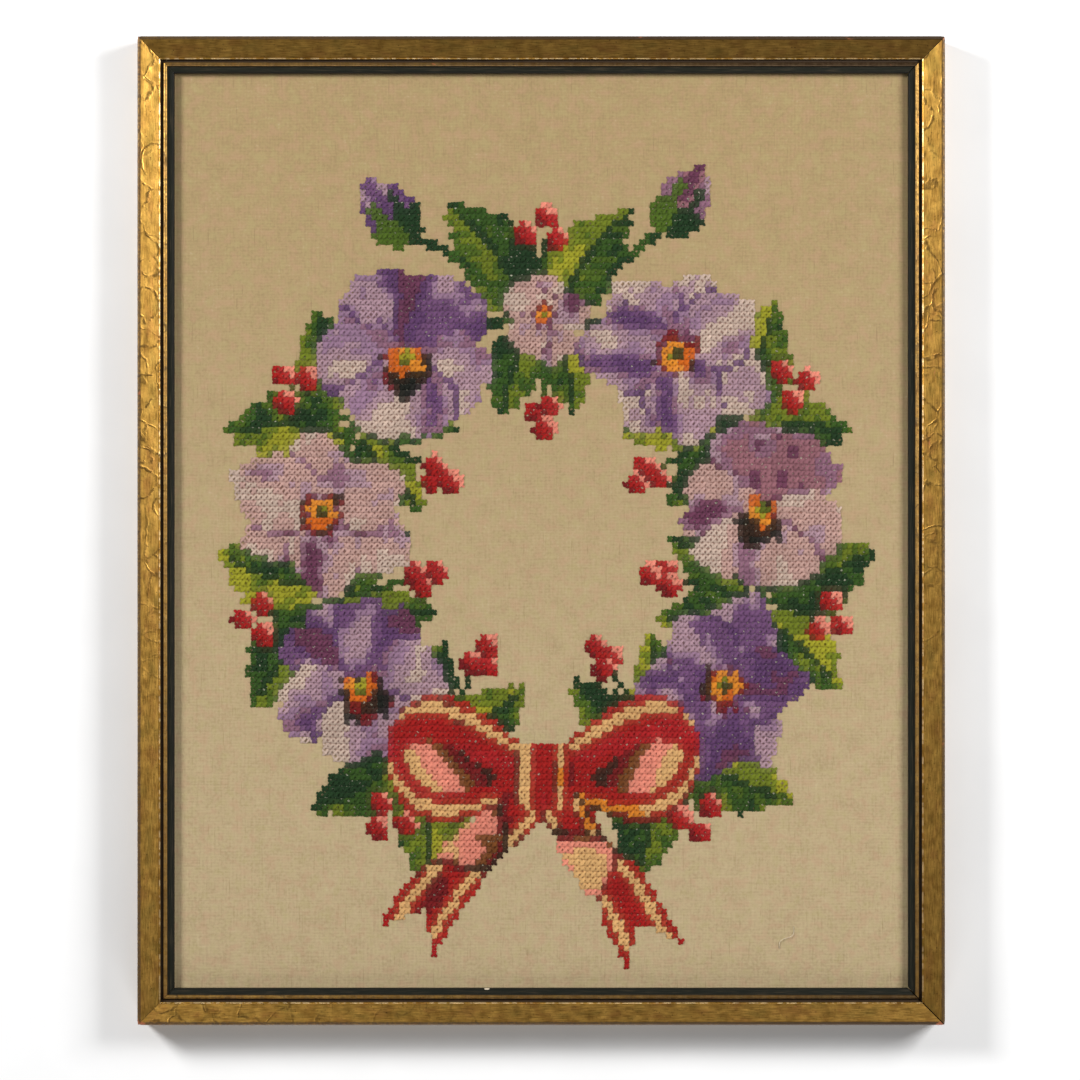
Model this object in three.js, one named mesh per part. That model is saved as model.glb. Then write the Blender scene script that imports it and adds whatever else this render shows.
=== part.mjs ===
// A cross-stitch embroidery on linen, stretched over a board in a narrow mitred gilt frame.
// The picture lies on its back. X runs across it, Y up it and Z out of its face, in millimetres,
// with the origin in the middle of its back, on the surface that it lies on.
import * as THREE from "three";

// Driving dimensions of the whole picture
const frameWidth = 432;
const frameHeight = 529;
const fitGap = 0.3; // between pieces that touch

// The moulding's section, measured inwards from its outside edge and upwards from its back
const railWidth = 19;
const railHeight = 20;
const outerRound = 1.2; // radius of the worn outside arris
const faceWidth = 11.2; // the gilt face, which falls towards the picture
const faceFall = 3.4;
const ridgeRadius = 0.4; // the fine raised line along the face's inner edge
const grooveWidth = 1.4;
const grooveFloor = 14.4;
const beadRadius = 1.1; // the gilt bead between the groove and the dark lip
const beadHeight = 14.9; // height of the bead's centre
const lipShoulder = 14.4; // where the lip leaves the bead
const lipHeight = 14.0; // the lip's top at its rounded inner arris
const lipRound = 0.8;
const rabbetWidth = 6;
const rabbetCeiling = 10.3; // underside of the lip, which the linen lies behind
const arcSegments = 8;

// The linen and its board, which fill the rabbet
const linenThickness = 1.2;
const linenCorner = 2;
const boardThickness = 3;
const boardCorner = 1;
const rabbetSlack = 0.4; // left free between the rabbet's side and what lies in it

const linenTop = rabbetCeiling - fitGap;
const boardTop = linenTop - linenThickness - fitGap;
const panelWidth = frameWidth - 2 * (railWidth - rabbetWidth + rabbetSlack);
const panelHeight = frameHeight - 2 * (railWidth - rabbetWidth + rabbetSlack);

const gilt = new THREE.MeshStandardMaterial({ color: "#c9983f", roughness: 0.42, metalness: 0.55 });
const linen = new THREE.MeshStandardMaterial({ color: "#b9a277", roughness: 0.95, metalness: 0 });
const hardboard = new THREE.MeshStandardMaterial({ color: "#8a6a45", roughness: 0.85, metalness: 0 });

// The moulding's outline: back, rabbet, rounded dark lip, bead, groove, fine ridge, gilt face and outside.
function railSection() {
  const ridgeCentre = faceWidth + ridgeRadius;
  const faceFoot = railHeight - faceFall;
  const grooveStart = faceWidth + 2 * ridgeRadius;
  const beadCentre = grooveStart + grooveWidth + beadRadius;
  const faceSlope = Math.atan2(faceFall, faceWidth - outerRound);
  const section = new THREE.Shape();
  section.moveTo(0, 0);
  section.lineTo(railWidth - rabbetWidth, 0);
  section.lineTo(railWidth - rabbetWidth, rabbetCeiling);
  section.lineTo(railWidth, rabbetCeiling);
  section.absarc(railWidth - lipRound, lipHeight - lipRound, lipRound, 0, Math.PI / 2, false);
  section.lineTo(beadCentre + beadRadius, lipShoulder);
  section.absarc(beadCentre, beadHeight, beadRadius, 0, Math.PI, false);
  section.lineTo(grooveStart + grooveWidth, grooveFloor);
  section.lineTo(grooveStart, grooveFloor);
  section.absarc(ridgeCentre, faceFoot, ridgeRadius, 0, Math.PI, false);
  section.absarc(outerRound, railHeight - outerRound, outerRound, Math.PI / 2 - faceSlope, Math.PI, false);
  section.lineTo(0, 0);
  return section;
}

// One rail as it lies along the picture's top edge, with its outside on the X axis and its
// section running towards -Y. Each point of the section is carried along to the mitre, which
// cuts in by as much as the point lies in from the outside, less half of the gap in the joint.
function railGeometry(outsideLength) {
  const geometry = new THREE.ExtrudeGeometry(railSection(), {
    depth: 1,
    steps: 1,
    bevelEnabled: false,
    curveSegments: arcSegments,
  });
  const mitreClearance = fitGap * Math.SQRT1_2;
  const points = geometry.attributes.position;
  for (let i = 0; i < points.count; i++) {
    const inset = points.getX(i);
    const height = points.getY(i);
    const towardsEnd = 1 - 2 * points.getZ(i);
    const along = towardsEnd * (outsideLength / 2 - inset - mitreClearance);
    points.setXYZ(i, along, -inset, height);
  }
  geometry.computeVertexNormals();
  return geometry;
}

// A flat panel with rounded corners, its top at the given height.
function panelGeometry(width, height, corner, top, thickness) {
  const right = width / 2;
  const upper = height / 2;
  const outline = new THREE.Shape();
  outline.absarc(right - corner, upper - corner, corner, 0, Math.PI / 2, false);
  outline.absarc(corner - right, upper - corner, corner, Math.PI / 2, Math.PI, false);
  outline.absarc(corner - right, corner - upper, corner, Math.PI, 1.5 * Math.PI, false);
  outline.absarc(right - corner, corner - upper, corner, 1.5 * Math.PI, 2 * Math.PI, false);
  const geometry = new THREE.ExtrudeGeometry(outline, {
    depth: thickness,
    steps: 1,
    bevelEnabled: false,
    curveSegments: arcSegments,
  });
  geometry.translate(0, 0, top - thickness);
  return geometry;
}

function piece(name, geometry, material) {
  const mesh = new THREE.Mesh(geometry, material);
  mesh.name = name;
  return mesh;
}

// Where each rail lies: its outside length, the middle of its outside edge and its turn about Z.
const railPlaces = [
  { name: "rail_top", length: frameWidth, x: 0, y: frameHeight / 2, turn: 0 },
  { name: "rail_left", length: frameHeight, x: -frameWidth / 2, y: 0, turn: Math.PI / 2 },
  { name: "rail_bottom", length: frameWidth, x: 0, y: -frameHeight / 2, turn: Math.PI },
  { name: "rail_right", length: frameHeight, x: frameWidth / 2, y: 0, turn: -Math.PI / 2 },
];

const picture = new THREE.Group();
for (const place of railPlaces) {
  const rail = piece(place.name, railGeometry(place.length), gilt);
  rail.position.set(place.x, place.y, 0);
  rail.rotation.z = place.turn;
  picture.add(rail);
}
picture.add(
  piece("linen_ground", panelGeometry(panelWidth, panelHeight, linenCorner, linenTop, linenThickness), linen),
  piece("backing_board", panelGeometry(panelWidth, panelHeight, boardCorner, boardTop, boardThickness), hardboard),
);

export default picture;
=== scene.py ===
"""A cross-stitch flower wreath on linen, stretched over a board in a mitred gilt frame.

The picture lies on its back. X runs across it, Y up it and Z out of its face. Sizes are in
millimetres up to the point where a mesh is filled, and a finished mesh is in metres.
"""

import logging
from collections.abc import Sequence
from dataclasses import dataclass, field
from enum import Enum

import bpy
import numpy as np
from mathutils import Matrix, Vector


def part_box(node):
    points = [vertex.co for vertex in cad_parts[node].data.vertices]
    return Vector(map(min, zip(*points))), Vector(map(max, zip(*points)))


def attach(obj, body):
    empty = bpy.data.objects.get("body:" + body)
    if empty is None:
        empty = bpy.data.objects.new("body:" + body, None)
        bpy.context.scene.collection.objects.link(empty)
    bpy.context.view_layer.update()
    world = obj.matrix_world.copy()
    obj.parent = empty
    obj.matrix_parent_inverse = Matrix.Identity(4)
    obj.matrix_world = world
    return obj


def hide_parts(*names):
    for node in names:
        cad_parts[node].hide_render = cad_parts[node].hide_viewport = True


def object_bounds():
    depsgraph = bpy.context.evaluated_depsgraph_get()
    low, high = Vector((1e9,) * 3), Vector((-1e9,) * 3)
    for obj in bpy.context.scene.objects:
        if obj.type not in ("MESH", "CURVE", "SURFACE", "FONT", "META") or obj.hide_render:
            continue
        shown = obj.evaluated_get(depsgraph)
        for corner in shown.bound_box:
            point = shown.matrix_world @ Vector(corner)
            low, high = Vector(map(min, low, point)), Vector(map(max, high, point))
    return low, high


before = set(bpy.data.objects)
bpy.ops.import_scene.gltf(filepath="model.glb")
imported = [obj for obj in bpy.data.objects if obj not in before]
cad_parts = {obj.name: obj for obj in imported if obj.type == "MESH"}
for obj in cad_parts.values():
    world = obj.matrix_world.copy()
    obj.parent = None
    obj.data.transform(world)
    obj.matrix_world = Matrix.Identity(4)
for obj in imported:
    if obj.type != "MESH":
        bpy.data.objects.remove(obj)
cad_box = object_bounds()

Rgb = tuple[float, float, float]
Pair = Sequence[float]  # a distance across and a distance up

METRES = 0.001  # metres in a millimetre
BODY = "root"
LATTICE = 64  # cells across the noise before it repeats
log = logging.getLogger("embroidery")


def value_noise(x: np.ndarray, y: np.ndarray | float, seed: int) -> np.ndarray:
    """Smooth noise: random values on a square lattice, blended between by a smooth step.

    Args:
        x: Coordinates across the lattice, one unit to a cell.
        y: Coordinates up the lattice, of a shape that goes with x, or one for all.
        seed: Chooses the lattice's values.

    Returns:
        An array of values from 0 to 1.
    """
    lattice = np.random.default_rng(seed).random((LATTICE, LATTICE))
    column, row = np.floor(x).astype(int), np.floor(y).astype(int)
    across, up = x - column, y - row
    across = across * across * (3 - 2 * across)
    up = up * up * (3 - 2 * up)

    def at(i: np.ndarray, j: np.ndarray) -> np.ndarray:
        """The lattice's value at a cell corner, repeated past its edge."""
        return lattice[i % LATTICE, j % LATTICE]

    low = at(column, row) * (1 - across) + at(column + 1, row) * across
    high = at(column, row + 1) * (1 - across) + at(column + 1, row + 1) * across
    return low * (1 - up) + high * up


def tube_faces(count: int, rings: int, sides: int) -> tuple[np.ndarray, np.ndarray]:
    """The faces of closed tubes: quads from ring to ring, and a flat cap at both ends of each.

    Args:
        count: The number of tubes.
        rings: The rings of a tube, from its start.
        sides: The points of a ring.

    Returns:
        The corners of all the faces, and the number of corners of each face.
    """
    side = np.arange(sides)
    ring = np.arange(rings - 1)[:, None] * sides
    following = (side + 1) % sides
    quads = np.stack([ring + side, ring + following, ring + sides + following, ring + sides + side], -1)
    tube = np.concatenate([quads.ravel(), side[::-1], (rings - 1) * sides + side])
    corners = (np.arange(count)[:, None] * rings * sides + tube).ravel()
    return corners, np.tile([4] * ((rings - 1) * sides) + [sides] * 2, count)


@dataclass
class Surface:
    """A mesh while it is being worked out: its points in millimetres and its faces as corner lists."""

    name: str
    points: np.ndarray
    corners: np.ndarray
    face_sizes: np.ndarray
    face_finish: np.ndarray | None = None
    corner_uv: np.ndarray | None = None
    point_values: dict[str, np.ndarray] = field(default_factory=dict)
    crease_degrees: float = 40.0

    def piece(self, finishes: Sequence[bpy.types.Material]) -> bpy.types.Object:
        """Fills a mesh with the surface and links an object at the origin.

        Args:
            finishes: The materials that face_finish counts from 0.

        Returns:
            The new object, smooth but for edges sharper than crease_degrees.
        """
        mesh = bpy.data.meshes.new(self.name)
        mesh.vertices.add(len(self.points))
        mesh.vertices.foreach_set("co", (self.points * METRES).astype(np.float32).ravel())
        mesh.loops.add(len(self.corners))
        mesh.loops.foreach_set("vertex_index", self.corners.astype(np.int32).ravel())
        starts = np.concatenate(([0], np.cumsum(self.face_sizes)[:-1]))
        mesh.polygons.add(len(self.face_sizes))
        mesh.polygons.foreach_set("loop_start", starts.astype(np.int32))
        mesh.update(calc_edges=True)
        mesh.polygons.foreach_set("use_smooth", np.ones(len(self.face_sizes), bool))
        if self.face_finish is not None:
            mesh.polygons.foreach_set("material_index", self.face_finish.astype(np.int32))
        if self.corner_uv is not None:
            layer = mesh.uv_layers.new(name="surface")
            layer.uv.foreach_set("vector", (self.corner_uv * METRES).astype(np.float32).ravel())
        for name, values in self.point_values.items():
            kind, key = ("FLOAT_COLOR", "color") if values.ndim == 2 else ("FLOAT", "value")
            mesh.attributes.new(name, kind, "POINT").data.foreach_set(key, values.astype(np.float32).ravel())
        for finish in finishes:
            mesh.materials.append(finish)
        mesh.validate()
        mesh.set_sharp_from_angle(angle=np.radians(self.crease_degrees))
        piece = bpy.data.objects.new(self.name, mesh)
        bpy.context.scene.collection.objects.link(piece)
        return piece


def report(piece: bpy.types.Object) -> None:
    """Logs a finished piece with its number of triangles."""
    piece.data.calc_loop_triangles()
    log.info("%s: %d triangles", piece.name, len(piece.data.loop_triangles))


class Wire:
    """The output of a node. Adding, multiplying and the like put in the node that does it."""

    def __init__(self, graph: "Graph", socket: bpy.types.NodeSocket) -> None:
        """Keeps the socket with the graph that it belongs to."""
        self.graph = graph
        self.socket = socket

    def __add__(self, other: "Value") -> "Wire":
        """This and another value together."""
        return self.graph.math("ADD", self, other)

    def __sub__(self, other: "Value") -> "Wire":
        """This less another value."""
        return self.graph.math("SUBTRACT", self, other)

    def __rsub__(self, other: "Value") -> "Wire":
        """Another value less this."""
        return self.graph.math("SUBTRACT", other, self)

    def __mul__(self, other: "Value") -> "Wire":
        """This times another value."""
        return self.graph.math("MULTIPLY", self, other)

    def __truediv__(self, other: "Value") -> "Wire":
        """This divided by another value."""
        return self.graph.math("DIVIDE", self, other)

    def __abs__(self) -> "Wire":
        """This without its sign."""
        return self.graph.math("ABSOLUTE", self)

    def __getitem__(self, axis: int) -> "Wire":
        """One part of a vector: 0, 1 or 2 for X, Y or Z."""
        return self.graph.node("SeparateXYZ", {"Vector": self}, axis)

    def ease(self, low: float, high: float, start: float = 0.0, end: float = 1.0) -> "Wire":
        """From start, where this is at low, to end, where it is at high, by a smooth step."""
        inputs = {"Value": self, "From Min": low, "From Max": high, "To Min": start, "To Max": end}
        return self.graph.node("MapRange", inputs, interpolation_type="SMOOTHSTEP")


Value = float | Sequence[float] | Wire


class Graph:
    """A material's nodes, with a short call for each kind of node that the finishes share."""

    def __init__(self, name: str) -> None:
        """Starts a material with one shader.

        Args:
            name: The material's name.
        """
        self.material = bpy.data.materials.new(name)
        self.material.use_nodes = True
        self.tree = self.material.node_tree
        self.tree.nodes.clear()
        output = self.tree.nodes.new("ShaderNodeOutputMaterial")
        self.shader = self.tree.nodes.new("ShaderNodeBsdfPrincipled")
        self.tree.links.new(self.shader.outputs["BSDF"], output.inputs["Surface"])

    def put(self, socket: bpy.types.NodeSocket, value: Value) -> None:
        """Links a wire to an input, or stores a plain number or colour there.

        Args:
            socket: The input.
            value: The wire, number, vector or colour.
        """
        if isinstance(value, Wire):
            self.tree.links.new(value.socket, socket)
        elif socket.type == "RGBA" and len(value) == 3:
            socket.default_value = (*value, 1.0)
        else:
            socket.default_value = value

    def node(
        self, kind: str, inputs: dict[str | int, Value], output: str | int = 0, **settings: object
    ) -> Wire:
        """Adds a node.

        Args:
            kind: The node's type, without the words that all types begin with.
            inputs: Values by the input's name or number.
            output: The name or number of the output that is wanted.
            settings: The node's own properties.

        Returns:
            The output.
        """
        made = self.tree.nodes.new("ShaderNode" + kind)
        for name, value in settings.items():
            setattr(made, name, value)
        for key, value in inputs.items():
            self.put(made.inputs[key], value)
        return Wire(self, made.outputs[output])

    def uv(self) -> Wire:
        """The surface's own map in millimetres."""
        return self.stretched(self.node("TexCoord", {}, "UV"), (1 / METRES,) * 3)

    def place(self) -> Wire:
        """The point's place on the object in millimetres."""
        return self.stretched(self.node("TexCoord", {}, "Object"), (1 / METRES,) * 3)

    def stretched(self, vector: Wire, scale: Sequence[float]) -> Wire:
        """A vector with each part multiplied by its own number."""
        return self.node("Mapping", {"Vector": vector, "Scale": scale})

    def attribute(self, name: str, output: str = "Fac") -> Wire:
        """A value that the mesh carries at its points."""
        return self.node("Attribute", {}, output, attribute_name=name)

    def noise(self, vector: Wire, scale: Value, detail: float = 2.0, output: str = "Fac") -> Wire:
        """Soft noise.

        Args:
            vector: Where the noise is read.
            scale: Lumps to a unit, for all directions or for X, Y and Z each.
            detail: How many times it gets finer lumps.
            output: Fac for one number and Color for three.

        Returns:
            Numbers that lie mostly between 0.25 and 0.75.
        """
        if isinstance(scale, tuple):
            vector, scale = self.stretched(vector, scale), 1.0
        return self.node("TexNoise", {"Vector": vector, "Scale": scale, "Detail": detail}, output)

    def cells(self, vector: Wire, scale: float, feature: str = "F1") -> Wire:
        """The distance to the nearest cell's point, or to its edge, in cells."""
        return self.node("TexVoronoi", {"Vector": vector, "Scale": scale}, "Distance", feature=feature)

    def math(self, operation: str, first: Value, second: Value = 0.0) -> Wire:
        """A sum of numbers, or of vectors where a side is a vector or colour.

        Args:
            operation: The name of the sum.
            first: Its first side. A plain number beside a vector stands for all three parts.
            second: Its second side.

        Returns:
            The result.
        """
        sides = (first, second)
        if not any(isinstance(side, Wire) and side.socket.type in ("VECTOR", "RGBA") for side in sides):
            return self.node("Math", dict(enumerate(sides)), operation=operation)
        threes = ((side,) * 3 if isinstance(side, float) else side for side in sides)
        return self.node("VectorMath", dict(enumerate(threes)), operation=operation)

    def mix(self, share: Value, first: Value, second: Value, blend: str = "MIX") -> Wire:
        """One colour turning into another as share goes from 0 to 1."""
        return self.node("Mix", {0: share, 6: first, 7: second}, 2, data_type="RGBA", blend_type=blend)

    def layers(self, colour: Value, *coats: tuple[Value, Value]) -> Wire:
        """A colour under coats of others, each laid on by its own share from 0 to 1.

        Args:
            colour: The ground.
            coats: The share and the colour of each coat, from the ground up.

        Returns:
            The colour that shows.
        """
        for share, coat in coats:
            colour = self.mix(share, colour, coat)
        return colour

    def relief(self, height: Wire, strength: float) -> Wire:
        """A normal that shows a height in millimetres."""
        return self.node("Bump", {"Height": height, "Distance": METRES, "Strength": strength})

    def dress(self, **sockets: Value) -> bpy.types.Material:
        """Gives the shader's own sockets their values.

        Args:
            sockets: The values, with _ for a space in the sockets' names.

        Returns:
            The material.
        """
        for name, value in sockets.items():
            self.put(self.shader.inputs[name.replace("_", " ")], value)
        return self.material


@dataclass(frozen=True)
class GiltFinish:
    """Worn gold leaf over red clay, with wrinkles across the moulding, dirt and painted shade in its hollows,
    painted shade along each rail, and rubbed leaf with a painted highlight on the ridge.
    """

    bright: Rgb = (0.80, 0.455, 0.095)
    dull: Rgb = (0.38, 0.195, 0.033)
    russet: Rgb = (0.46, 0.19, 0.05)
    olive: Rgb = (0.36, 0.25, 0.05)
    wrinkle: Rgb = (0.110, 0.060, 0.016)
    # dirt, and painted shade in the hollows and along the rails
    dirt: Rgb = (0.050, 0.027, 0.010)
    clay: Rgb = (0.36, 0.10, 0.035)
    # rubbed leaf, with a painted highlight along the ridge
    rubbed: Rgb = (0.95, 0.72, 0.38)
    spacing: float = 19.0  # between wrinkles
    wander: float = 8.0  # of a wrinkle from its cell's edge or from a true ring
    fray: float = 0.9  # of a wrinkle's edges
    ring_radius: float = 0.47  # of the arcs, in spacings
    depth: float = 0.085  # of a wrinkle

    def wrinkles(self, g: Graph, at: Wire) -> Wire:
        """Arcs round scattered points and the edges of large cells, both faded out by slow noise.

        Args:
            g: The material's nodes.
            at: The surface's map in millimetres.

        Returns:
            1 along a wrinkle and 0 between the wrinkles.
        """
        drift = g.noise(at, 1 / 11.0, 2.0, "Color") - 0.5
        at = at + (g.noise(at, 1 / 1.8, 3.0, "Color") - 0.5) * self.fray
        edge = g.cells(at + drift * self.wander, 1 / self.spacing, "DISTANCE_TO_EDGE")
        other_cells = (300.0, 50.0, 0.0)
        away = g.cells(at + drift * (0.8 * self.wander) + other_cells, 1 / self.spacing)
        slow = g.noise(at, 1 / 40.0, 1.0)
        lines = edge.ease(0.006, 0.046, 1.0, 0.0) * slow.ease(0.48, 0.60, 1.0, 0.0)
        arcs = abs(away - self.ring_radius).ease(0.006, 0.048, 1.0, 0.0) * slow.ease(0.38, 0.50)
        broken = g.noise(at, 1 / 3.5, 3.0).ease(0.36, 0.60, 0.15, 1.0)
        return g.math("MAXIMUM", lines, arcs) * broken * g.attribute("crackle")

    def leaf(self, g: Graph, at: Wire, grain: Wire) -> Wire:
        """The gold itself: bright and dull along the grain, clouded with red brown and olive.

        Args:
            g: The material's nodes.
            at: The surface's map in millimetres.
            grain: Streaks along the moulding.

        Returns:
            The gold's colour.
        """
        cloud = g.noise(at, (0.07, 0.13, 1.0), 4.0)
        return g.layers(
            self.dull,
            ((g.noise(at, 1 / 6.0, 5.0) * 0.7 + grain * 0.3).ease(0.25, 0.75), self.bright),
            (cloud.ease(0.50, 0.68, 0.0, 0.42), self.russet),
            (cloud.ease(0.48, 0.32, 0.0, 0.40), self.olive),
        )

    def material(self) -> bpy.types.Material:
        """Builds the finish: the leaf, then painted shade along each rail, wrinkles, rubbed edges with a
        painted highlight, dirt and painted shade in the hollows, bare clay and specks.

        Returns:
            The material.
        """
        g = Graph("gilt_leaf")
        at = g.uv()
        rub, patina, tarnish = (g.attribute(name) for name in ("rub", "patina", "tarnish"))
        wrinkle = self.wrinkles(g, at)
        grain = g.noise(at, (0.14, 2.4, 1.0), 3.0)
        fine = g.noise(at, 1 / 1.3, 3.0)
        along = g.noise(at, (0.33, 0.05, 1.0), 3.0)
        worn = g.noise(at, (0.10, 0.22, 1.0), 4.0)
        # dirt and painted shade in the groove, on the bead's sides and at the outer edge
        dirty = (patina + fine * 0.5).ease(0.55, 1.15)
        bare = (worn + g.attribute("corner") * 0.34).ease(0.70, 0.76)
        colour = g.layers(
            self.leaf(g, at, grain),
            # painted shade: each rail darker where less lamplight reflects from it, and most in the hollows
            (tarnish * (patina * 2.0 + 1.0), self.dirt),
            (fine.ease(0.56, 0.74, 0.0, 0.5), self.wrinkle),
            (wrinkle * 0.75, self.wrinkle),
            # rubbed leaf on the ridge, with a painted highlight
            (rub * (0.85 - tarnish) * along.ease(0.44, 0.58), self.rubbed),
            (dirty, self.dirt),
            (bare * 0.7, self.clay),
            (g.cells(at, 1 / 5.0).ease(0.045, 0.09, 1.0, 0.0) * 0.7, self.dirt),
        )
        height = g.noise(at, 1 / 9.0) * 0.15 - wrinkle * self.depth + grain * 0.014 + fine * 0.030
        return g.dress(
            Base_Color=colour,
            Metallic=0.92 - g.math("MAXIMUM", bare * 0.7, dirty * 0.6),
            Roughness=grain.ease(0.3, 0.7, 0.30, 0.42) + dirty * 0.2,
            Specular_IOR_Level=0.5,
            Normal=g.relief(height, 0.9),
        )


@dataclass(frozen=True)
class LipFinish:
    """Satin black paint with a green cast, with painted shade darkest at the arris, pale specks and a chip.
    """

    paint: Rgb = (0.0090, 0.0098, 0.0060)
    worn: Rgb = (0.035, 0.027, 0.015)
    # painted shade where the lip rolls down into the recess
    arris: Rgb = (0.003, 0.003, 0.002)
    speck: Rgb = (0.42, 0.36, 0.24)
    chalk: Rgb = (0.52, 0.44, 0.33)  # the ground under the paint, which the chip lays bare

    def material(self) -> bpy.types.Material:
        """Builds the finish: brushed paint, then painted shade at the arris, the specks and the ragged chip.

        Returns:
            The material.
        """
        g = Graph("black_lip")
        at = g.uv()
        brush = g.noise(at, (0.08, 2.2, 1.0), 4.0)
        rub = g.attribute("rub")
        chip = (g.attribute("chip") * rub + g.noise(at, 1 / 0.8) * 0.3).ease(0.45, 0.55)
        colour = g.layers(
            self.paint,
            (brush.ease(0.50, 0.72), self.worn),
            # painted shade at the arris
            (rub * 0.8, self.arris),
            (g.cells(at, 1 / 9.0).ease(0.018, 0.03, 1.0, 0.0), self.speck),
            (chip, self.chalk),
        )
        return g.dress(
            Base_Color=colour,
            Roughness=brush.ease(0.3, 0.7, 0.44, 0.60),
            Specular_IOR_Level=0.16,
            Normal=g.relief(brush, 0.12),
        )


@dataclass(frozen=True)
class WoodFinish:
    """Bare wood: two browns along the grain, with fine pores."""

    name: str
    light: Rgb
    dark: Rgb
    grain: Rgb  # lumps to a millimetre along X, Y and Z

    def material(self) -> bpy.types.Material:
        """Builds the finish on the object's own coordinates.

        Returns:
            The material.
        """
        g = Graph(self.name)
        at = g.place()
        figure = g.noise(at, self.grain, 5.0)
        pores = g.noise(at, 1.9, 3.0)
        colour = g.layers(
            self.light,
            (figure.ease(0.34, 0.66), self.dark),
            (pores.ease(0.55, 0.72, 0.0, 0.35), self.dark),
        )
        normal = g.relief(figure + pores * 0.4, 0.12)
        return g.dress(Base_Color=colour, Roughness=0.78, Specular_IOR_Level=0.3, Normal=normal)


BARE_WOOD = WoodFinish("bare_wood", (0.30, 0.19, 0.10), (0.16, 0.09, 0.045), grain=(0.03, 0.6, 0.6))
HARDBOARD = WoodFinish("hardboard", (0.20, 0.115, 0.055), (0.13, 0.070, 0.032), grain=(0.25, 0.25, 0.25))


@dataclass(frozen=True)
class LinenFinish:
    """Natural linen, plain woven: darker and warmer towards the top, paler towards the foot."""

    top: Rgb = (0.324, 0.232, 0.107)
    foot: Rgb = (0.424, 0.330, 0.186)
    shade: Rgb = (0.20, 0.135, 0.060)
    light: Rgb = (0.56, 0.47, 0.31)
    blush: Rgb = (0.42, 0.24, 0.15)
    straw: Rgb = (0.36, 0.31, 0.13)
    gap: Rgb = (0.11, 0.075, 0.035)
    fleck: Rgb = (0.52, 0.50, 0.38)  # the bare thread that shows through dark yarn, painted paler than the linen as light caught in the gap
    dark_fuzz: Rgb = (0.85, 0.80, 0.80)  # the share of a dark yarn's colour that its fuzz keeps, a little darker as painted shade
    # the share of a pale yarn's colour that its fuzz keeps, darker as painted shade in the gaps
    pale_fuzz: Rgb = (0.66, 0.55, 0.51)
    warp_pitch: float = 0.735
    weft_pitch: float = 0.8175
    half_height: float = 245.0

    def weave(self, g: Graph, at: Wire) -> Wire:
        """The height of a plain weave.

        Two sets of threads are ridges that go over and under each other: the height is each
        set's own arch, weighed by the product of both sines, which changes sign at each crossing.
        Slow noise bends the threads.

        Args:
            g: The material's nodes.
            at: The cloth's map in millimetres.

        Returns:
            A height from 0 to 1.
        """
        sway = (g.noise(at, 1 / 24.0) - 0.5) * 1.6
        warp = g.math("SINE", (at[0] / self.warp_pitch + sway) * np.pi)
        weft = g.math("SINE", (at[1] / self.weft_pitch + sway) * np.pi)
        over = warp * weft * 0.5
        return abs(warp) * (over + 0.5) + abs(weft) * (0.5 - over)

    def between(self, g: Graph, at: Wire) -> Wire:
        """What shows between stitches: dyed fuzz with painted shade, darkest round pale yarn, and pale flecks
        of bare linen in dark yarn, painted lighter as light in the gaps.

        Args:
            g: The material's nodes.
            at: The cloth's map in millimetres.

        Returns:
            The colour.
        """
        dye = g.attribute("dye", "Color")
        pale = dye[1].ease(0.07, 0.22)
        # the yarn's fuzz in the gaps, darkened as painted shade, most round pale yarn
        fuzz = g.mix(1.0, dye, g.mix(pale, self.dark_fuzz, self.pale_fuzz), "MULTIPLY")
        # pale flecks of bare linen in dark yarn, painted lighter than the linen as light caught in the gaps
        return g.mix(g.noise(at, 0.5).ease(0.54, 0.60) * (1.0 - pale), fuzz, self.fleck)

    def material(self) -> bpy.types.Material:
        """Builds the finish: a fade up the cloth, uneven threads, blotches and the gaps between threads.

        Returns:
            The material.
        """
        g = Graph("linen")
        at = g.uv()
        weave = self.weave(g, at)
        upright = g.noise(at, (0.95, 0.085, 1.0), 3.0)
        level = g.noise(at, (0.075, 0.95, 1.0), 3.0)
        blotch = g.noise(at, 1 / 12.0, 3.0)
        speckle = g.noise(at, 0.62)
        hue = g.noise(at + (400.0, 90.0, 0.0), 1 / 6.0, 4.0)
        slub = g.noise(at, (1.25, 0.06, 1.0))
        nub = g.noise(at, (0.9, 0.7, 1.0), 1.0)
        tone = (upright + level) * 0.20 + blotch * 0.22 + speckle * 0.38
        colour = g.layers(
            self.foot,
            (at[1].ease(-self.half_height, self.half_height), self.top),
            (tone.ease(0.56, 0.34, 0.0, 0.40), self.shade),
            (tone.ease(0.54, 0.76, 0.0, 0.45), self.light),
            (hue.ease(0.47, 0.68, 0.0, 0.32), self.blush),
            (hue.ease(0.50, 0.30, 0.0, 0.30), self.straw),
            (slub.ease(0.62, 0.76, 0.0, 0.45), self.shade),
            (nub.ease(0.80, 0.87, 0.0, 0.6), self.light),
            (weave.ease(0.62, 0.15, 0.0, 0.35), self.gap),
            (g.attribute("dye", "Alpha"), self.between(g, at)),
        )
        return g.dress(
            Base_Color=colour,
            Roughness=0.92,
            Specular_IOR_Level=0.2,
            Sheen_Weight=0.12,
            Sheen_Roughness=0.6,
            Normal=g.relief(weave * 0.14 + tone * 0.16, 0.8),
        )


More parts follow.
